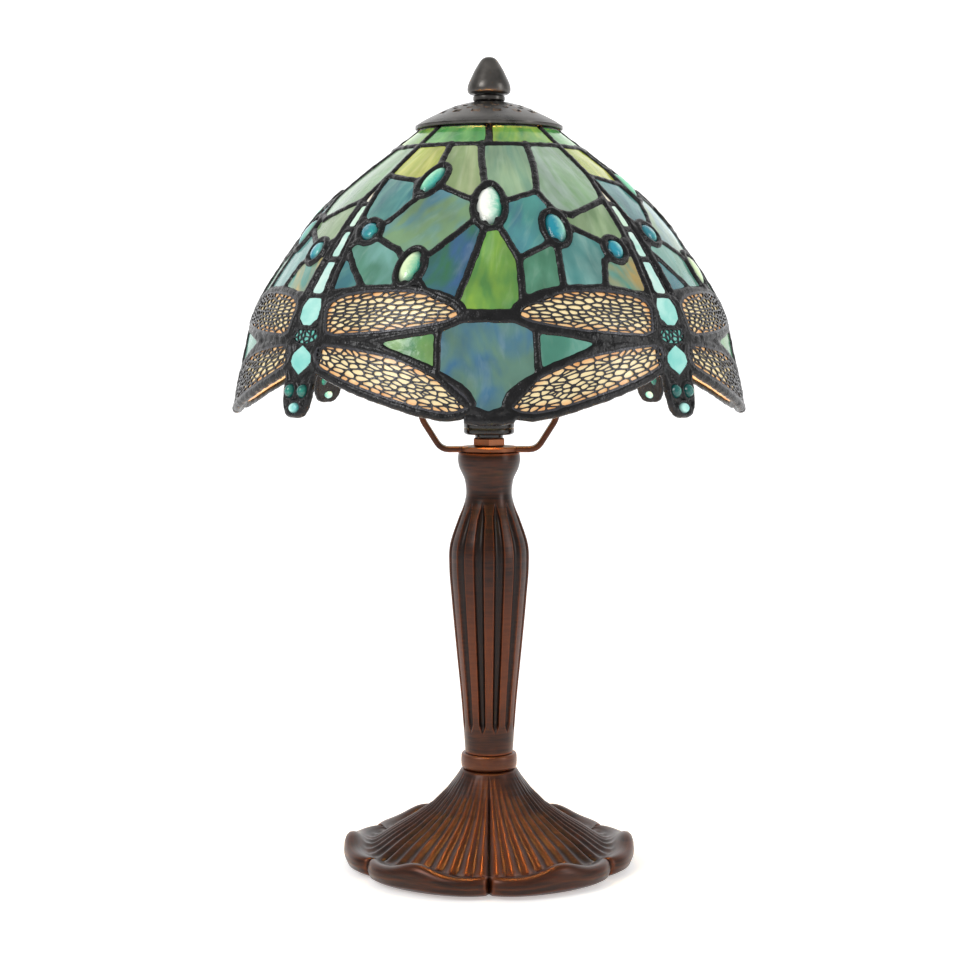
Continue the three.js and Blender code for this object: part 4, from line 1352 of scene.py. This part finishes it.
def bulb():
    length = 77
    profile = [
        (0, 6.6), (5, 9), (17, 16), (27, 17.5), (43, 15), (62, 8.5), (73, 3.4), (length, 0.4),
    ]
    heights, radii = smooth_curve(profile, 60)
    outline = [(0, 0)] + list(zip(radii, heights)) + [(0, length)]
    add_turned_piece("bulb_envelope", "bulb_glass", outline, BULB, "bulb", 64, crease=60)


# ---- Vent cap and finial ----

CAP_WALL = 1.6
VENT_RINGS = [(18.4, 21.0, 0.85), (21.8, 24.3, 0.32), (25.0, 28.4, 0.85)]  # radii, stagger
VENT_SLOTS = 16
VENT_OPEN = 0.36  # share of the pitch that a slot takes
CAP_SEGMENTS = VENT_SLOTS * 12


def in_slot(radius, column):
    """Whether a place on the cap lies in one of its slots."""
    for inner_radius, outer_radius, stagger in VENT_RINGS:
        share = (column / CAP_SEGMENTS * VENT_SLOTS + stagger) % 1.0
        if inner_radius < radius < outer_radius and share < VENT_OPEN:
            return True
    return False


def slot_walls(cell, cut, last_row):
    """Walls between the cap's two skins, on the sides of an open cell that end a slot."""
    row, column = cell
    before, after = (column - 1) % CAP_SEGMENTS, (column + 1) % CAP_SEGMENTS
    sides = [  # the neighbour there, and the corners where the wall starts and ends
        ((row, before), (row, column), (row + 1, column)),
        ((row, after), (row + 1, after), (row, after)),
        ((row - 1, column), (row, after), (row, column)),
        ((row + 1, column), (row + 1, column), (row + 1, after)),
    ]
    walls = []
    for neighbour, start, end in sides:
        if neighbour not in cut:
            outer = [corner_row * CAP_SEGMENTS + place for corner_row, place in (start, end)]
            inner = [(last_row - corner_row) * CAP_SEGMENTS + place
                     for corner_row, place in (end, start)]
            walls.append(outer + inner)
    return walls


def vent_cap():
    """A pressed dome: outer and inner skins with staggered rings of slots through both.

    Row by row the grid of faces runs down the outer skin and back up the inner one, so
    that a row of the outer skin has its partner as far from the other end of the grid.
    """
    profile = [
        (3.3, 14), (8, 14), (11, 13.5), (15, 12.5), (18, 11.6), (25.5, 8.3), (31, 5.6),
        (35, 3.4), (37.5, 1.7),
    ]
    radii, heights = smooth_curve(profile, 90)
    outer = list(zip(radii, heights))
    rim = [(37.5, 0.2), (37.3, 0), (36.1, 0), (35.9, 0.2)]
    inner = [(min(radius, 35.9), max(height - CAP_WALL, 0.4)) for radius, height in outer]
    rows = outer + rim + inner[::-1]
    last_row = len(rows) - 1
    cut = set()
    for row in range(len(outer) - 1):
        for column in range(CAP_SEGMENTS):
            if in_slot(radii[row], column) and in_slot(radii[row + 1], column):
                cut.add((row, column))
    faces = []
    for index, face in enumerate(grid_faces(len(rows), CAP_SEGMENTS, wrap_rows=True)):
        row, column = divmod(index, CAP_SEGMENTS)
        if (row, column) not in cut and (last_row - 1 - row, column) not in cut:
            faces.append(face)
    for cell in sorted(cut):
        faces.extend(slot_walls(cell, cut, last_row))
    points = lathe_points(rows, CAP_SEGMENTS)
    points[:, 2] += low("vent_cap")
    bundle = Bundle().add(*weld(points, faces))
    add_piece("vent_cap_pressed", bundle, GUNMETAL, "shade", "vent_cap", crease=50)


def finial():
    collar = [(3.4, 0), (7.4, 0), (8.1, 0.7), (8.1, 2.5), (7.4, 3.3), (3.4, 3.3)]
    collar = rounded(collar, 0.35, 2)
    add_turned_piece("finial_ring", "finial_collar", collar, GUNMETAL, "finial_seat")
    knob = [
        (0, 7), (3.3, 7), (3.3, 0), (9.4, 0), (10.6, 0.8), (11, 2.2), (10.9, 4), (10.3, 6),
        (9.4, 7.9), (7.6, 11.8), (5.1, 16), (3.6, 18), (2, 18.9), (0, 19.1),
    ]
    add_turned_piece("finial_knob", "finial", rounded(knob, 1.2, 2), GUNMETAL, "finial")


# ---- Cable and the CAD nodes that stay ----


def cable():
    """Down from the rod, round a bend under the base and straight out to the back."""
    radius, bend, steps = 2.5, 14.7, 12
    height = low("cable") + radius
    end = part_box("cable")[1].y / MM
    path = [(0, 0, high("cable")), (0, 0, height + bend + 6)]
    for angle in np.linspace(0, math.pi / 2, steps + 1)[1:-1]:
        path.append((0, bend * (1 - math.cos(angle)), height + bend * (1 - math.sin(angle))))
    path += [(0, bend + 6, height), (0, end, height)]
    path = refined(path, 6, closed=False)
    bundle = Bundle().add(*sweep(path, [(1, 0, 0)], oval(radius, radius, 20)))
    add_piece("cable_round", bundle, PLASTIC, "lamp_body", "cable", crease=60)


CARRIED_OVER = [
    (FELT, ["felt_pad"]),
    (CAST_IRON, ["base_weight"]),
    (STEEL, ["base_washer", "base_nut", "threaded_rod", "harp_stud", "bulb_cap"]),
    (CERAMIC, ["lampholder_insulator"]),
    (COPPER, ["lampholder_contact", "lampholder_screw_shell", "seat_washer"]),
    (PLASTIC, ["cable_bush", "switch_lower_case", "switch_upper_case", "switch_rocker"]),
]
BEVELLED = ("switch_lower_case", "switch_upper_case", "switch_rocker", "base_nut")


def carried_over_nodes():
    for material, nodes in CARRIED_OVER:
        for node in nodes:
            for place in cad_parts[node].material_slots:
                place.material = material
    for node in BEVELLED:
        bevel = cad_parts[node].modifiers.new("edges", "BEVEL")
        bevel.width = 0.5 * MM
        bevel.segments = 2
        bevel.limit_method = "ANGLE"


# ---- Studio, in metres ----

EYE_HEIGHT = 0.281
EYE_DISTANCE = 1.038
FOCAL_LENGTH = 76.0  # in millimetres on Blender's 36 mm wide sensor
SHIFT = (-0.0094, -0.06)  # of the sensor, which keeps the lamp's sides almost parallel
LOOKS_DOWN = 2.9  # degrees


def backdrop():
    """A sheet of paper: floor, a broad bend and a wall behind."""
    front, wall, bend, top, half_width = -3.0, 1.8, 0.8, 4.0, 4.5
    section = [(front, 0)]
    for angle in np.linspace(0, math.pi / 2, 17):
        section.append((wall - bend + bend * math.sin(angle), bend - bend * math.cos(angle)))
    section.append((wall, top))
    points = [(x / MM, y / MM, z / MM) for y, z in section for x in (-half_width, half_width)]
    faces = [[2 * row, 2 * row + 1, 2 * row + 3, 2 * row + 2] for row in range(len(section) - 1)]
    paper = new_object("backdrop", points, faces)
    paper.data.shade_smooth()
    paper.data.materials.append(sheet_paper())


def add_light(name, kind, place, power, tone="ffffff"):
    light = bpy.data.lights.new(name, kind)
    light.energy = power
    light.color = colour(tone)[:3]
    lamp = bpy.data.objects.new(name, light)
    lamp.location = place
    scene.collection.objects.link(lamp)
    return lamp


def softbox(name, place, size, power):
    """A rectangle of white light, turned towards the middle of the lamp."""
    middle = Vector((0, 0, 0.22))
    lamp = add_light(name, "AREA", place, power)
    lamp.rotation_euler = (middle - Vector(place)).to_track_quat("-Z", "Y").to_euler()
    lamp.data.shape = "RECTANGLE"
    lamp.data.size, lamp.data.size_y = size


def studio():
    backdrop()
    softbox("key", (-1.2, -1.2, 1.3), (0.7, 0.9), 16)
    softbox("fill", (1.5, -0.7, 0.7), (0.35, 1.2), 7)
    above_bulb = (0, 0, (high("bulb_glass") + 14) * MM)
    glow = add_light("glow", "POINT", above_bulb, 3.5, "ffb765")
    glow.data.shadow_soft_size = 0.008
    world = bpy.data.worlds.new("studio")
    world.use_nodes = True
    sky = world.node_tree.nodes["Background"]
    sky.inputs["Color"].default_value = colour("ffffff")
    sky.inputs["Strength"].default_value = 0.5
    scene.world = world
    scene.view_settings.view_transform = "Standard"


def camera():
    lens_data = bpy.data.cameras.new("camera")
    lens_data.lens = FOCAL_LENGTH
    lens_data.shift_x, lens_data.shift_y = SHIFT
    eye = bpy.data.objects.new("camera", lens_data)
    eye.location = (0, -EYE_DISTANCE, EYE_HEIGHT)
    eye.rotation_euler = (math.radians(90 - LOOKS_DOWN), 0, 0)
    scene.collection.objects.link(eye)
    scene.camera = eye


# ---- The whole lamp ----

base()
stem()
collar_ring()
harp()
harp_nut()
lampholder()
bulb()
vent_cap()
finial()
cable()
carried_over_nodes()
crown_panes()
for sector in range(SECTORS):
    sector_panes(sector)
    dragonfly_glass(sector)
    wing_panes(sector)
    jewels(sector)
leading()
filigree()
studio()
camera()
